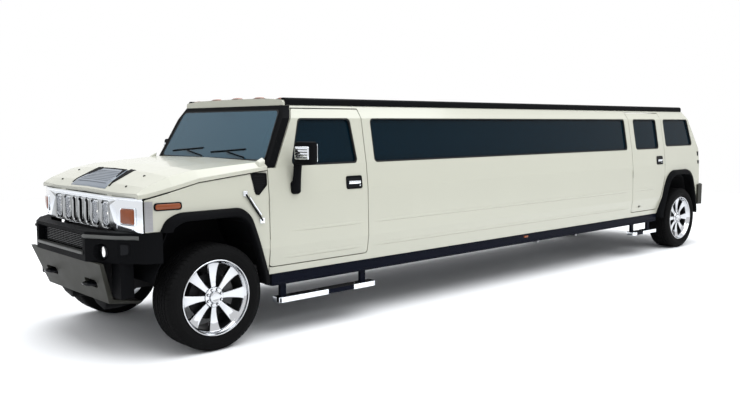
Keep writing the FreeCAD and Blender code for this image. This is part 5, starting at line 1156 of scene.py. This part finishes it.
# The front calipers turn with their knuckles, and the rear ones stay on the axle
for places, body in ((WHEELS[:1], "knuckle_left_body"), (WHEELS[1:2], "knuckle_right_body"),
                     (WHEELS[2:], ROOT)):
    @piece("Brake_caliper", CAST, "cast_iron", body, places=places)
    def brake_caliper(mesh):
        """Two cheeks and a bridge over the brake disc, with two pistons and a hose."""
        turns = [math.radians(62 + 7 * k) for k in range(9)]
        verts = []
        for inner, outer, ends in ((0.122, 0.208, (0.842, 0.8635)), (0.122, 0.208, (0.8945, 0.909)),
                                   (0.19, 0.2075, (0.86, 0.898))):
            sector = [wheel_point(0, outer, turn).yz for turn in turns]
            sector += [wheel_point(0, inner, turn).yz for turn in turns[::-1]]
            verts += prism(mesh, sector, "x", ends)
        soften(mesh, 0.003, verts=verts)
        for turn in (76, 104):
            piston = wheel_point(0.842, 0.163, math.radians(turn))
            turned_along(mesh, piston, (-1, 0, 0), [(-0.005, 0.024), (0.01, 0.024), (0.013, 0.02)], 24)
        hose = ((0.84, 0.15, 0.03), (0.8, 0.14, 0.06), (0.76, 0.1, 0.07))
        tube(mesh, [(x, y, AXLE_HEIGHT + up) for x, y, up in hose], 0.005, 8)


# Sill, steps and creases of the body side

STEP_INNER = 0.9
STEP_OUTER = 1.0175
# Each chrome end of a step: places and corner radii of its inner and outer edge
STEP_ENDS = (("Step_end_front_1", (0.597, 0.02), (0.597, 0.05), (1.13, 0.01), (0.94, 0.01)),
             ("Step_end_front_2", (1.53, 0.01), (1.42, 0.01), (1.707, 0.05), (1.707, 0.02)),
             ("Step_end_rear_1", (6.391, 0.02), (6.391, 0.05), (6.47, 0.01), (6.44, 0.01)),
             ("Step_end_rear_2", (6.72, 0.01), (6.62, 0.01), (7.009, 0.05), (7.009, 0.02)))

for name, *places in STEP_ENDS:
    @pair(name, CHROME, "chrome")
    def step_end(mesh):
        across = (STEP_INNER, STEP_OUTER, STEP_OUTER, STEP_INNER)
        corners = [(x, y, radius) for x, (y, radius) in zip(across, places)]
        prism(mesh, rounded(corners, 0, 6), "z", (0.2895, 0.3345), soft=(0.009, 3))


for end, start, stop in (("front", 1.0, 1.5), ("rear", 6.46, 6.68)):
    @pair(f"Step_tread_{end}", RUBBER, "black_plastic")
    def step_tread(mesh):
        outline = [(0.906, start - 0.05), (1.004, start + 0.1), (1.004, stop - 0.05), (0.906, stop + 0.02)]
        verts = prism(mesh, outline, "z", (0.3298, 0.3325))
        for x in evenly(0.914, 0.0125, 7):
            box(mesh, (x, x + 0.005), (start + 0.09, stop - 0.06), (0.332, 0.336))
        soften(mesh, 0.001, 1, verts=verts)


@pair("Sill_rib", NAVY, "navy_paint")
def sill_rib(mesh):
    for z, half, out in ((0.449, 0.009, 0.0055), (0.519, 0.0055, 0.0035)):
        section = ((-0.0005, -1), (out * 0.7, -0.6), (out, 0), (out * 0.7, 0.6), (-0.0005, 1))
        skin(mesh, [[(0.95 + reach, y, z + half * up) for reach, up in section]
                    for y in (0.585, 2.2, 3.8, 5.4, 7.06)])


@pair("Sill_marker", [AMBER, BLACK], "amber_plastic")
def sill_marker(mesh):
    box(mesh, (0.949, 0.9555), (4.055, 4.125), (0.492, 0.514), 0, (0.0025, 2))
    box(mesh, (0.949, 0.9525), (4.045, 4.135), (0.486, 0.52), 1, (0.0015, 1))


# Each point of a crease's section: height, distance out, and distance out where the crease has faded
CREASE_SECTION = ((-0.016, -0.0008, -0.002), (-0.011, 0.0003, -0.001), (-0.004, 0.0026, -0.0006),
                  (0.001, 0.0026, -0.0006), (0.013, 0.0004, -0.001), (0.02, -0.0008, -0.002))
CREASE_FADES = ((0, 0.0), (0.03, 0.15), (0.1, 0.6), (0.2, 1.0))
CREASES = (("Door_crease_front", FRONT_DOOR, (0.7, 1.618, 0.888), (0.6, 1.618, 0.665)),
           ("Door_crease_rear", REAR_DOOR, (6.405, 7.03, 0.888), (6.405, 6.75, 0.665)),
           ("Side_crease", ROOT, (1.66, 6.365, 0.888), (1.66, 6.365, 0.665)))

for name, body, *lines in CREASES:
    @pair(name, WHITE, "white_paint", body)
    def crease(mesh):
        """Pressed lines along the body side, which fade at both ends."""
        for start, end, height in lines:
            stations = [(start + gap, fade) for gap, fade in CREASE_FADES]
            stations += [(end - gap, fade) for gap, fade in CREASE_FADES[::-1]]
            skin(mesh, [[on_side(y, height + up, out * fade + faded * (1 - fade))
                         for up, out, faded in CREASE_SECTION] for y, fade in stations])


# Tail

TAIL_FACE = 8.29


def on_tail(x, z, out):
    """A point on the tail, which leans forward above its knee."""
    return (x, TAIL_FACE - 0.27 * max(0, z - 1.4) / 0.544 + out, z)


@pair("Tail_lamp_trim", [BLACK, RED, AMBER], "black_plastic")
def tail_lamp_trim(mesh):
    """A black frame with three ribbed lenses."""
    hole = rounded(rectangle(0.808, 0.892, 1.123, 1.327), 0.008)
    plate(mesh, rounded(rectangle(0.797, 0.903, 1.108, 1.342), 0.012), [hole], "y", 8.2895, 8.306)
    for low, high, material in ((1.124, 1.185, 1), (1.189, 1.258, 2), (1.262, 1.326, 1)):
        box(mesh, (0.809, 0.891), (8.3005, 8.3045), (low, high), material)
        for k in range(7):
            box(mesh, (0.812, 0.888), (8.304, 8.3055), about(low + (high - low) * (k + 0.5) / 7, 0.0018),
                material)


@piece("Rear_bumper_parts", [BLACK, RED, PLATE_WHITE, STEEL], "black_plastic")
def rear_bumper_parts(mesh):
    """A ribbed tread on the bumper, two reflectors, and the blank plate in its frame with two lamps."""
    verts = box(mesh, (-0.66, 0.66), (8.33, 8.535), (0.8795, 0.884))
    for y in evenly(8.345, 0.022, 9):
        box(mesh, (-0.64, 0.64), (y, y + 0.008), (0.883, 0.8875))
    soften(mesh, 0.0015, 1, verts=verts)
    for left, right in ((-0.64, -0.52), (0.52, 0.64)):
        box(mesh, (left, right), (8.5495, 8.556), (0.715, 0.755), 1)
        for k in range(8):
            x = left + 0.008 + k * (right - left - 0.016) / 7
            box(mesh, about(x, 0.003), (8.555, 8.5575), (0.719, 0.751), 1)
    hole = rounded(rectangle(-0.262, 0.262, 0.667, 0.793), 0.008)
    plate(mesh, rounded(rectangle(-0.275, 0.275, 0.655, 0.805), 0.012), [hole], "y", 8.549, 8.56)
    prism(mesh, rounded(rectangle(-0.264, 0.264, 0.665, 0.795), 0.008), "y", (8.5495, 8.5555), 2)
    for x in (-0.09, 0.09):
        for z in (0.683, 0.777):
            screw = [(0, 0.006), (0.002, 0.006), (0.0035, 0.003)]
            turned_along(mesh, (x, 8.5552, z), (0, 1, 0), screw, 12, 3)
    for x in (-0.16, 0.16):
        box(mesh, about(x, 0.03), (8.548, 8.572), (0.812, 0.83), soft=(0.004, 2))


@piece("Tailgate_handle", [BLACK, WHITE], "black_plastic", "tailgate_body")
def tailgate_handle(mesh):
    """The handle in its frame, and a white raised border round the lower panel."""
    hole = rounded(rectangle(-0.122, 0.122, 1.0, 1.04), 0.01)
    plate(mesh, rounded(rectangle(-0.14, 0.14, 0.985, 1.055), 0.014), [hole], "y", 8.2895, 8.304)
    box(mesh, (-0.115, 0.115), (8.289, 8.3005), (1.012, 1.03), soft=(0.004, 2))
    border = rectangle(-0.66, 0.66, 0.93, 1.385)
    plate(mesh, rounded(border, 0.03), [rounded(shrunk(border, 0.025), 0.022)], "y", 8.2895, 8.293)
    for face in mesh.faces:
        middle = face.calc_center_median()
        if abs(middle.x) > 0.2 or abs(middle.z - 1.02) > 0.1:
            face.material_index = 1


@piece("Tailgate_glass_trim", RUBBER, "black_plastic", "tailgate_body")
def tailgate_glass_trim(mesh):
    """The pane's seal and the rear wiper."""
    outer = rounded([(-0.606, 1.452), (0.606, 1.452), (0.568, 1.848), (-0.568, 1.848)], 0.045)
    inner = rounded([(-0.588, 1.47), (0.588, 1.47), (0.552, 1.83), (-0.552, 1.83)], 0.04)
    rim(mesh, on_tail, (outer, -0.001), (outer, 0.004), (inner, 0.003), (inner, -0.008))
    pivot = Vector(on_tail(0, 1.435, 0.002))
    turned_along(mesh, pivot, (0, 1, 0.3), [(-0.004, 0.02), (0.014, 0.02), (0.02, 0.014)], 20)
    arm = [pivot + Vector((0, 0.016, 0.004)), on_tail(0.12, 1.5, 0.02), on_tail(0.3, 1.6, 0.014)]
    tube(mesh, arm, 0.006, 8)
    tube(mesh, [on_tail(0.3 + x, 1.6 + x * 0.56, 0.0085) for x in evenly(-0.22, 0.12, 4)], 0.007, 8, flat=0.7)


@piece("High_stop_lamp", [BLACK, RED], "black_plastic")
def high_stop_lamp(mesh):
    box(mesh, (-0.17, 0.17), (7.955, 8.008), (2.009, 2.03), soft=(0.005, 2))
    box(mesh, (-0.155, 0.155), (8.004, 8.0105), (2.013, 2.0265), 1)


@pair("Rear_side_marker", BLACK_GLOSS, "black_plastic")
def rear_side_marker(mesh):
    for low, high in ((1.3, 1.365), (1.185, 1.235)):
        box(mesh, about(side_x((low + high) / 2), 0.006), (8.235, 8.275), (low, high), soft=(0.003, 2))


# Underside

@pair("Damper_and_lines", CHASSIS, "frame_paint")
def damper_and_lines(mesh):
    """The dampers at both axles, the bolts along the frame's rail and its two pipes."""
    for foot, head in (((0.56, 7.6, 0.4), (0.425, 7.36, 0.66)), ((0.6, 0.1, 0.37), (0.485, 0.09, 0.6))):
        axis = Vector(head) - Vector(foot)
        length = axis.length
        profile = [(-0.015, 0.018), (0.02, 0.018), (0.024, 0.03), (length * 0.56, 0.03),
                   (length * 0.58, 0.024), (length * 0.6, 0.011), (length, 0.011)]
        turned_along(mesh, foot, axis, profile, 20)
        for x, y, z in (foot, head):
            turned_along(mesh, (x, y - 0.02, z), (0, 1, 0), [(0, 0.02), (0.04, 0.02)], 16)
    for y in evenly(1.6, 0.8, 7):
        for z in (0.515, 0.565):
            bolt = [(-0.002, 0.011), (0.006, 0.011), (0.008, 0.008)]
            turned_along(mesh, (0.4605, y, z), (1, 0, 0), bolt, 6)
    for z, radius in ((0.54, 0.004), (0.528, 0.003)):
        tube(mesh, [(0.466, y, z) for y in (0.7, 2, 4, 6, 7.2)], radius, 6)


@piece("Tank_straps", STEEL, "steel")
def tank_straps(mesh):
    """Two straps under the fuel tank, each of three flat runs."""
    path = [(0.47, 0.6), (0.466, 0.384), (0.824, 0.384), (0.8265, 0.602)]
    for y in (4.5, 5.3):
        for (x0, z0), (x1, z1) in zip(path, path[1:]):
            box(mesh, (min(x0, x1) - 0.002, max(x0, x1) + 0.002), about(y, 0.02),
                (min(z0, z1) - 0.002, max(z0, z1) + 0.002))


# Seats. A pad is swelled by cloth under pressure and then held near its first form.

PAD_TRIM = 0.006
PAD_MOVE = 0.02
SEAM_DEPTH = 0.009
SWELL_FRAMES = 20


def bake(thing):
    """Replace an object's mesh by what its modifiers make of it."""
    bpy.context.view_layer.update()
    ready = bpy.data.meshes.new_from_object(thing.evaluated_get(bpy.context.evaluated_depsgraph_get()))
    thing.modifiers.clear()
    thing.data = ready


def swell(pad):
    """Blow the pad up as cloth that is pinned where it is sewn."""
    start = [vert.co.copy() for vert in pad.data.vertices]
    cloth = pad.modifiers.new("Cloth", "CLOTH")
    cloth.settings.vertex_group_mass = "Sewn"
    cloth.settings.use_pressure = True
    cloth.settings.uniform_pressure_force = 4
    cloth.settings.quality = 4
    cloth.settings.effector_weights.gravity = 0
    cloth.point_cache.frame_end = SWELL_FRAMES
    for frame_number in range(1, SWELL_FRAMES + 1):
        bpy.context.scene.frame_set(frame_number)
    bake(pad)
    for vert, first in zip(pad.data.vertices, start):
        shift = vert.co - first
        if shift.length > PAD_MOVE:
            vert.co = first + shift.normalized() * PAD_MOVE
    bpy.context.scene.frame_set(1)


def pad_form(width, depth, height, edge, lines=(), cross=(), voxel=0.016):
    """The mesh of a pad that stands on the middle of its front edge, sewn along lines on its top."""
    mesh = bmesh.new()
    outline = rectangle(PAD_TRIM - width / 2, width / 2 - PAD_TRIM, PAD_TRIM, depth - PAD_TRIM)
    prism(mesh, rounded(outline, edge * 1.4, 6), "z", (0, height - PAD_TRIM))
    soften(mesh, edge, 5, limit=40)
    data = bpy.data.meshes.new("Pad_form")
    mesh.to_mesh(data)
    mesh.free()
    pad = add_object("Pad_form", data)
    even = pad.modifiers.new("Even", "REMESH")
    even.mode = "VOXEL"
    even.voxel_size = voxel
    bake(pad)
    pins = pad.vertex_groups.new(name="Sewn")
    for vert in pad.data.vertices:
        low = vert.co.z < voxel * 0.6
        near = min([abs(vert.co.x - line) for line in lines] + [abs(vert.co.y - line) for line in cross],
                   default=1.0)
        if vert.co.z > height * 0.35 and near < voxel * 1.6:
            vert.co.z -= SEAM_DEPTH * math.exp(-(near / (voxel * 0.8)) ** 2)
            low = low or near < voxel * 0.75
        if low:
            pins.add([vert.index], 1.0, "REPLACE")
    swell(pad)
    finer = pad.modifiers.new("Finer", "SUBSURF")
    finer.levels = 1
    finer.render_levels = 1
    bake(pad)
    form = pad.data
    bpy.data.objects.remove(pad)
    return form


def place_pad(name, form, spot, lean=0, turn=0, width_share=1, turn_right=False, replaced=None):
    """Set a pad at a place, leaning back and turned by degrees."""
    mesh = bmesh.new()
    mesh.from_mesh(form)
    mesh.transform(Matrix.Translation(spot) @ Matrix.Rotation(math.radians(turn), 4, "Z")
                   @ Matrix.Rotation(math.radians(lean), 4, "X") @ Matrix.Diagonal((width_share, 1, 1, 1)))
    pad = add_piece(name, mesh, LEATHER, turn_right=turn_right, angle=80)
    if replaced:
        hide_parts(replaced)


def make_front_pads():
    cushion = pad_form(0.5, 0.5, 0.145, 0.035, (-0.15, 0.15), (0.12, 0.23, 0.34))
    back = pad_form(0.48, 0.56, 0.125, 0.035, (-0.14, 0.14), (0.14, 0.25, 0.36, 0.47))
    rest = pad_form(0.27, 0.16, 0.1, 0.03, (), (0.08,))
    for side in SIDES:
        right = side == "right"
        place_pad(f"Front_seat_cushion_{side}", cushion, (0.4, 1.195, 0.762), -2, turn_right=right,
                  replaced=None if right else "front_seats")
        place_pad(f"Front_seat_back_{side}", back, (0.4, 1.716, 0.872), 82, turn_right=right)
        place_pad(f"Front_headrest_{side}", rest, (0.4, 1.79, 1.455), 82, turn_right=right)


make_front_pads()


@pair("Front_seat_base", [BLACK, STEEL], "black_plastic")
def front_seat_base(mesh):
    """The seat's shell on two rails, with the headrest's rods, a knob and an armrest."""
    verts = box(mesh, (0.19, 0.61), (1.225, 1.69), (0.66, 0.765))
    shell = rounded([(1.69, 0.72), (1.75, 0.72), (1.872, 1.44), (1.835, 1.44)], 0.015)
    verts += prism(mesh, shell, "x", (0.175, 0.625))
    soften(mesh, 0.012, 3, verts=verts)
    for x in (0.22, 0.55):
        box(mesh, (x, x + 0.03), (1.21, 1.72), (0.6398, 0.664), 1)
    for x in (0.34, 0.46):
        turned_along(mesh, (x, 1.79, 1.4), (0, 0.12, 1), [(0, 0.006), (0.11, 0.006)], 12, 1)
    box(mesh, (0.61, 0.64), (1.3, 1.42), (0.74, 0.765), soft=(0.006, 2))
    prism(mesh, rounded(rectangle(1.47, 1.77, 1.0, 1.05), 0.02), "x", (0.125, 0.165), soft=(0.01, 3))


LOUNGE_START = 2.3
LOUNGE_PITCH = 0.55
LOUNGE_SEATS = 7


def make_lounge_pads():
    """The long bench on the left side and the bench for three across the rear."""
    seat = pad_form(0.545, 0.37, 0.15, 0.035, (), (0.185,), 0.02)
    back = pad_form(0.545, 0.42, 0.125, 0.035, (-0.13, 0.0, 0.13), (), 0.02)
    for k, y in enumerate(evenly(LOUNGE_START + LOUNGE_PITCH / 2, LOUNGE_PITCH, LOUNGE_SEATS), 1):
        place_pad(f"Lounge_cushion_{k}", seat, (0.375, y, 0.808), 0, -90,
                  replaced="lounge_seats" if k == 1 else None)
        place_pad(f"Lounge_back_{k}", back, (0.874, y, 0.966), 90, -90)
    for k, x in enumerate((-0.415, 0.0, 0.415), 1):
        place_pad(f"Rear_bench_cushion_{k}", seat, (x, 7.128, 0.808), width_share=0.76)
        place_pad(f"Rear_bench_back_{k}", back, (x, 7.635, 0.968), 86, width_share=0.76)


make_lounge_pads()


@piece("Lounge_plinth", [CABINET, CHROME, STRIP_LIGHT], "cabinet")
def lounge_plinth(mesh):
    """The benches' boxes and back boards, with chrome strips and a light along the foot."""
    verts = box(mesh, (0.395, 0.889), (2.302, 6.148), (0.6398, 0.809))
    verts += box(mesh, (0.873, 0.8895), (2.302, 6.148), (0.8, 1.375))
    verts += box(mesh, (-0.635, 0.635), (7.15, 7.635), (0.6398, 0.809))
    verts += box(mesh, (-0.635, 0.635), (7.63, 7.66), (0.8, 1.37))
    soften(mesh, 0.008, 2, verts=verts)
    for y in evenly(LOUNGE_START + LOUNGE_PITCH, LOUNGE_PITCH, LOUNGE_SEATS - 1):
        box(mesh, (0.3925, 0.396), about(y, 0.004), (0.655, 0.795), 1)
    box(mesh, (0.385, 0.3945), (2.32, 6.13), (0.643, 0.652), 2)


# Cabin

BAR_TOP = 1.3245
GLASS_PROFILE = [(0, 0.03), (0.003, 0.028), (0.006, 0.005), (0.09, 0.004), (0.1, 0.016), (0.13, 0.028),
                 (0.17, 0.024), (0.168, 0.022), (0.13, 0.025), (0.104, 0.012)]
BOTTLE_PROFILE = [(0, 0.036), (0.004, 0.038), (0.18, 0.038), (0.22, 0.016), (0.29, 0.014), (0.3, 0.0155),
                  (0.305, 0.012)]


@piece("Bar_fittings", [STONE, CABINET, CHROME, STRIP_LIGHT, LENS, BOTTLE_GREEN], "cabinet")
def bar_fittings(mesh):
    """The bar's stone top, doors with handles, a light, two sinks, eight glasses and four bottles."""
    box(mesh, (-0.8895, -0.545), (2.325, 5.705), (1.2995, 1.325), soft=(0.006, 2))
    for y in evenly(2.345, 0.56, 6):
        box(mesh, (-0.5605, -0.552), (y, y + 0.535), (0.68, 1.27), 1, (0.004, 2))
        tube(mesh, [(-0.545, y + 0.49, z) for z in (0.92, 0.97, 1.02)], 0.006, material=2)
    box(mesh, (-0.552, -0.5465), (2.345, 5.69), (1.281, 1.289), 3)
    up = (0, 0, 1)
    for y in (2.75, 4.3):
        sink = [(0, 0.105), (0.008, 0.105), (0.009, 0.09), (0.0035, 0.086), (0.003, 0.01)]
        turned_along(mesh, (-0.72, y, BAR_TOP - 0.001), up, sink, 32, 2)
    for y in evenly(3.15, 0.11, 8):
        turned_along(mesh, (-0.8, y, BAR_TOP), up, GLASS_PROFILE, 20, 4)
    for y in evenly(4.75, 0.14, 4):
        turned_along(mesh, (-0.8, y, BAR_TOP), up, BOTTLE_PROFILE, 24, 5)


@piece("Partition_window", [CHROME, SCREEN_GLASS], "cabinet")
def partition_window(mesh):
    opening = rectangle(-0.5, 0.5, 1.28, 1.8)
    plate(mesh, rounded(opening, 0.05), [rounded(shrunk(opening, 0.023), 0.04)], "y", 2.1, 2.16)
    soften(mesh, 0.004, 2)
    box(mesh, (-0.478, 0.478), (2.127, 2.133), (1.302, 1.778), 1)


DRIVER_PLACE = 0.4
WHEEL_CENTRE = Vector((DRIVER_PLACE, 1.09, 1.215))
WHEEL_RADIUS = 0.19
WHEEL_AXIS = Vector((0, -0.9063, 0.4226))
WHEEL_UP = Vector((0, 0.4226, 0.9063))


def steering_point(turn, radius):
    return WHEEL_CENTRE + (Vector((math.cos(turn), 0, 0)) + WHEEL_UP * math.sin(turn)) * radius


@piece("Steering_wheel", [LEATHER, BLACK], "leather", replaced="steering_wheel")
def steering_wheel(mesh):
    """A padded rim on three spokes, its hub, the column and two stalks."""
    tube(mesh, [steering_point(turn, WHEEL_RADIUS) for turn in circle(56)], 0.0145, 12, True,
         steady=WHEEL_AXIS)
    for turn in (0, math.pi, math.pi * 1.5):
        side = (steering_point(turn, 1) - WHEEL_CENTRE).cross(WHEEL_AXIS)
        skin(mesh, [[steering_point(turn, far) + side * (half * sx) + WHEEL_AXIS * (0.012 + 0.007 * sz)
                     for sx, sz in ((-1, -1), (1, -1), (1, 1), (-1, 1))]
                    for far, half in ((0.04, 0.032), (0.1, 0.022), (0.17, 0.018), (0.186, 0.02))])
    hub = [(-0.03, 0.055), (0.004, 0.062), (0.016, 0.055), (0.022, 0.035), (0.024, 0.008)]
    turned_along(mesh, WHEEL_CENTRE, -WHEEL_AXIS, hub, 32)
    turned_along(mesh, (DRIVER_PLACE, 0.95, 1.215), (0, 1, 0), [(0, 0.03), (0.12, 0.026)], 20, 1)
    for sign in (-1, 1):
        stalk = ((0.03, 1.03, 1.215), (0.1, 1.04, 1.225), (0.15, 1.045, 1.23))
        tube(mesh, [(DRIVER_PLACE + sign * x, y, z) for x, y, z in stalk], 0.0055, material=1)


@piece("Dashboard_parts", [BLACK, BLACK_GLOSS, DARK_METAL_AND_SHADE, CHROME], "black_plastic")
def dashboard_parts(mesh):
    """Instrument hood, middle panel with screen and knobs, air vents, glove box, pedals and gear lever."""
    hood = rounded([(0.9, 1.355), (1.005, 1.345), (1.0, 1.27), (0.93, 1.25)], 0.02)
    prism(mesh, hood, "x", (0.22, 0.58), soft=(0.008, 3))
    box(mesh, (-0.16, 0.16), (0.93, 0.972), (1.06, 1.33), soft=(0.008, 3))
    box(mesh, (-0.125, 0.125), (0.968, 0.9745), (1.2, 1.31), 1)
    for x in (-0.09, 0.0, 0.09):
        dial = [(0, 0.026), (0.008, 0.025), (0.018, 0.02), (0.02, 0.017)]
        turned_along(mesh, (x, 0.968, 1.13), (0, 1, 0), dial, 24, 2)
    for x in (-0.7, -0.28, 0.21, 0.7):
        box(mesh, about(x, 0.06), (0.94, 0.967), (1.215, 1.29))
        for z in evenly(1.225, 0.0125, 5):
            box(mesh, about(x, 0.052), (0.962, 0.972), (z, z + 0.004), 2)
    box(mesh, (-0.62, -0.24), (0.955, 0.967), (1.06, 1.18))
    for x in (0.33, 0.4, 0.47):
        prism(mesh, rounded(rectangle(*about(x, 0.025), 0.72, 0.8), 0.01), "y", (0.82, 0.832), 2)
        tube(mesh, [(x, 0.83, 0.79), (x, 0.78, 0.86), (x, 0.72, 0.98)], 0.007, 8, material=2)
    console = rounded([(0.9, 0.64), (1.85, 0.64), (1.85, 0.86), (1.2, 0.84), (0.93, 1.02)], 0.03)
    prism(mesh, console, "x", (-0.11, 0.11), soft=(0.015, 3))
    tube(mesh, [(0, 1.22, 0.83), (0, 1.2, 0.9), (0, 1.19, 0.96)], 0.01, 12, material=3)
    knob = [(0, 0.015), (0.01, 0.026), (0.035, 0.028), (0.05, 0.018), (0.054, 0.005)]
    turned_along(mesh, (0, 1.188, 0.955), (0, -0.1, 1), knob, 20, 2)


# Inside trim of the doors

CARD_FACE = 0.8885
CARD_MATERIALS = [LEATHER, CABIN_TRIM, BLACK, CHROME]


def on_card(y, z, out):
    """A point on the door card, moved out towards the cabin."""
    return (CARD_FACE - out, y, z)


def fill_card(mesh, outline, insert, rest, lever, speaker):
    """A panel with a sewn insert, an armrest, a latch lever and a speaker."""
    whole = rounded(outline, 0.05)
    stack(mesh, on_card, (whole, -0.0077), (whole, -0.002), (rounded(shrunk(outline, 0.004), 0.048), 0.0005))
    dome(mesh, on_card, insert, 0.03, (0, 0.0003), (0.001, 0.005), (0.008, 0.008), (0.03, 0.009), material=1)
    front, rear, height = rest
    section = ((0, -0.055), (0.6, -0.042), (1, -0.018), (0.96, -0.002), (0.5, 0.003), (0, 0.014))
    rings = []
    for t in (k / 12 for k in range(13)):
        reach = 0.052 * math.sin(math.pi * min(0.95, max(0.05, t))) ** 0.3
        rings.append([on_card(front + (rear - front) * t, height + up, reach * share)
                      for share, up in section])
    skin(mesh, rings)
    y, z = lever
    outer = rounded(rectangle(*about(y, 0.055), *about(z, 0.026)), 0.02)
    hollow = rounded(rectangle(*about(y, 0.045), *about(z, 0.018)), 0.015)
    rim(mesh, on_card, (outer, 0.0001), (outer, 0.005), (hollow, 0.0065), (hollow, 0.0015), material=2)
    path = ((0.038, 0.002), (0.025, 0.0075), (0, 0.0095), (-0.035, 0.008))
    tube(mesh, [on_card(y + along, z, out) for along, out in path], 0.006, material=3)
    y, z, size = speaker
    profile = [(0, size), (0.006, size), (0.0085, size - 0.005), (0.0085, size - 0.01), (0.005, size - 0.014),
               (0.0065, size * 0.4), (0.0075, 0.002)]
    turned_along(mesh, on_card(y, z, 0), (-1, 0, 0), profile, 40, 2)
    for radius in evenly(size * 0.3, size * 0.14, 4):
        ring = [on_card(y + radius * math.cos(a), z + radius * math.sin(a), 0.007) for a in circle(28)]
        tube(mesh, ring, 0.0016, 5, True, 2, steady=(1, 0, 0))


@pair("Front_door_card", CARD_MATERIALS, "black_plastic", FRONT_DOOR)
def front_door_card(mesh):
    fill_card(mesh, rectangle(0.63, 1.57, 0.67, 1.385), rectangle(1.16, 1.51, 1.14, 1.33), (1.0, 1.46, 1.08),
              (1.07, 1.24), (0.79, 0.8, 0.075))


@pair("Rear_door_card", CARD_MATERIALS, "black_plastic", REAR_DOOR)
def rear_door_card(mesh):
    fill_card(mesh, [(6.45, 0.7), (6.9, 0.7), (7.04, 1.0), (7.12, 1.36), (6.45, 1.36)],
              rectangle(6.51, 6.98, 1.14, 1.31), (6.54, 6.93, 1.08), (6.62, 0.98), (6.56, 0.8, 0.06))


# Materials of the CAD nodes

DRESSES = ((WHITE, ["body_side_left", "body_side_right", "roof", "front_fenders", "rear_panel"]),
           (WHITE, ["tailgate", "hood"] + ["door_" + corner for corner in CORNERS]),
           (BLACK, ["windscreen_frame", "wheel_arch_flares", "front_bumper", "bulkhead", "fuel_tank"]),
           (BLACK, ["mirror_left", "mirror_right"]),
           (NAVY, ["running_boards"]),
           (GREY, ["skid_plate", "rear_bumper"]),
           (CHROME, ["grille"]),
           (SHADED_RIM_CHROME, ["rim_" + corner for corner in CORNERS]),
           (TYRE, ["tyre_" + corner for corner in CORNERS]),
           (CHASSIS, ["chassis_frame", "hitch_receiver", "front_suspension", "floor_pan"]),
           (CAST, ["knuckle_left", "knuckle_right", "rear_axle", "engine_block"]),
           (STEEL, ["propshaft", "exhaust"]),
           (DARK_GLASS, ["fixed_glass", "tailgate_glass"] + ["door_glass_" + corner for corner in CORNERS]),
           (LENS, ["headlamps"]),
           (AMBER, ["amber_lamps"]),
           (RED, ["tail_lamps"]),
           (LEATHER, ["front_seats", "lounge_seats", "steering_wheel"]),
           (CABINET, ["partition", "bar_cabinet"]))
# Half widths within which faces get another material, and the top of the wheel houses
WHOLE_WIDTH = 2
HOUSE_WIDTH = 0.99
HOUSE_TOP = 1.06


def dress(material, names):
    for name in names:
        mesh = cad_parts[name].data
        mesh.materials.clear()
        mesh.materials.append(material)


def dress_faces(name, material, limit, test):
    """Give some faces of a CAD node another material: those within a half width that pass a test."""
    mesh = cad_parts[name].data
    mesh.materials.append(material)
    for face in mesh.polygons:
        middle = face.center
        if abs(middle.x) < limit and test(middle.y - FRONT_AXLE, middle.z, face.normal):
            face.material_index = len(mesh.materials) - 1


def in_house(place, half):
    """A test for the faces of a wheel house about a place, without those that face sideways."""
    return lambda y, z, normal: abs(y - place) < half and z < HOUSE_TOP and abs(normal.x) < 0.5


def dress_nodes():
    """Dress all nodes, then the trimmed inner faces, the wheel houses and the windscreen."""
    for material, names in DRESSES:
        dress(material, names)
    for side, inward in zip(SIDES, (-1, 1)):
        for name in ("door_front_", "door_rear_", "body_side_"):
            dress_faces(name + side, CABIN_TRIM, WHOLE_WIDTH, lambda y, z, normal: normal.x * inward > 0.5)
    dress_faces("roof", HEADLINER, WHOLE_WIDTH, lambda y, z, normal: normal.z < -0.5)
    dress_faces("tailgate", CABIN_TRIM, WHOLE_WIDTH, lambda y, z, normal: normal.y < -0.5)
    dress_faces("hood", CABIN_TRIM, WHOLE_WIDTH, lambda y, z, normal: normal.z < -0.5)
    dress_faces("front_fenders", BLACK, 0.9385, lambda y, z, normal: True)
    dress_faces("front_fenders", BLACK, HOUSE_WIDTH, in_house(0, 0.47))
    dress_faces("front_fenders", BLACK, HOUSE_WIDTH, lambda y, z, normal: y < 0 and z < 0.975)
    dress_faces("fixed_glass", SCREEN_GLASS, 0.8, lambda y, z, normal: y < 0.85)
    for name in ("body_side_left", "body_side_right"):
        dress_faces(name, BLACK, 0.9345, lambda y, z, normal: y > 7.05 and z < 1.35)
        dress_faces(name, BLACK, HOUSE_WIDTH, in_house(REAR_ARCH_PLACE, 0.5))


dress_nodes()
make_camera()
make_studio()
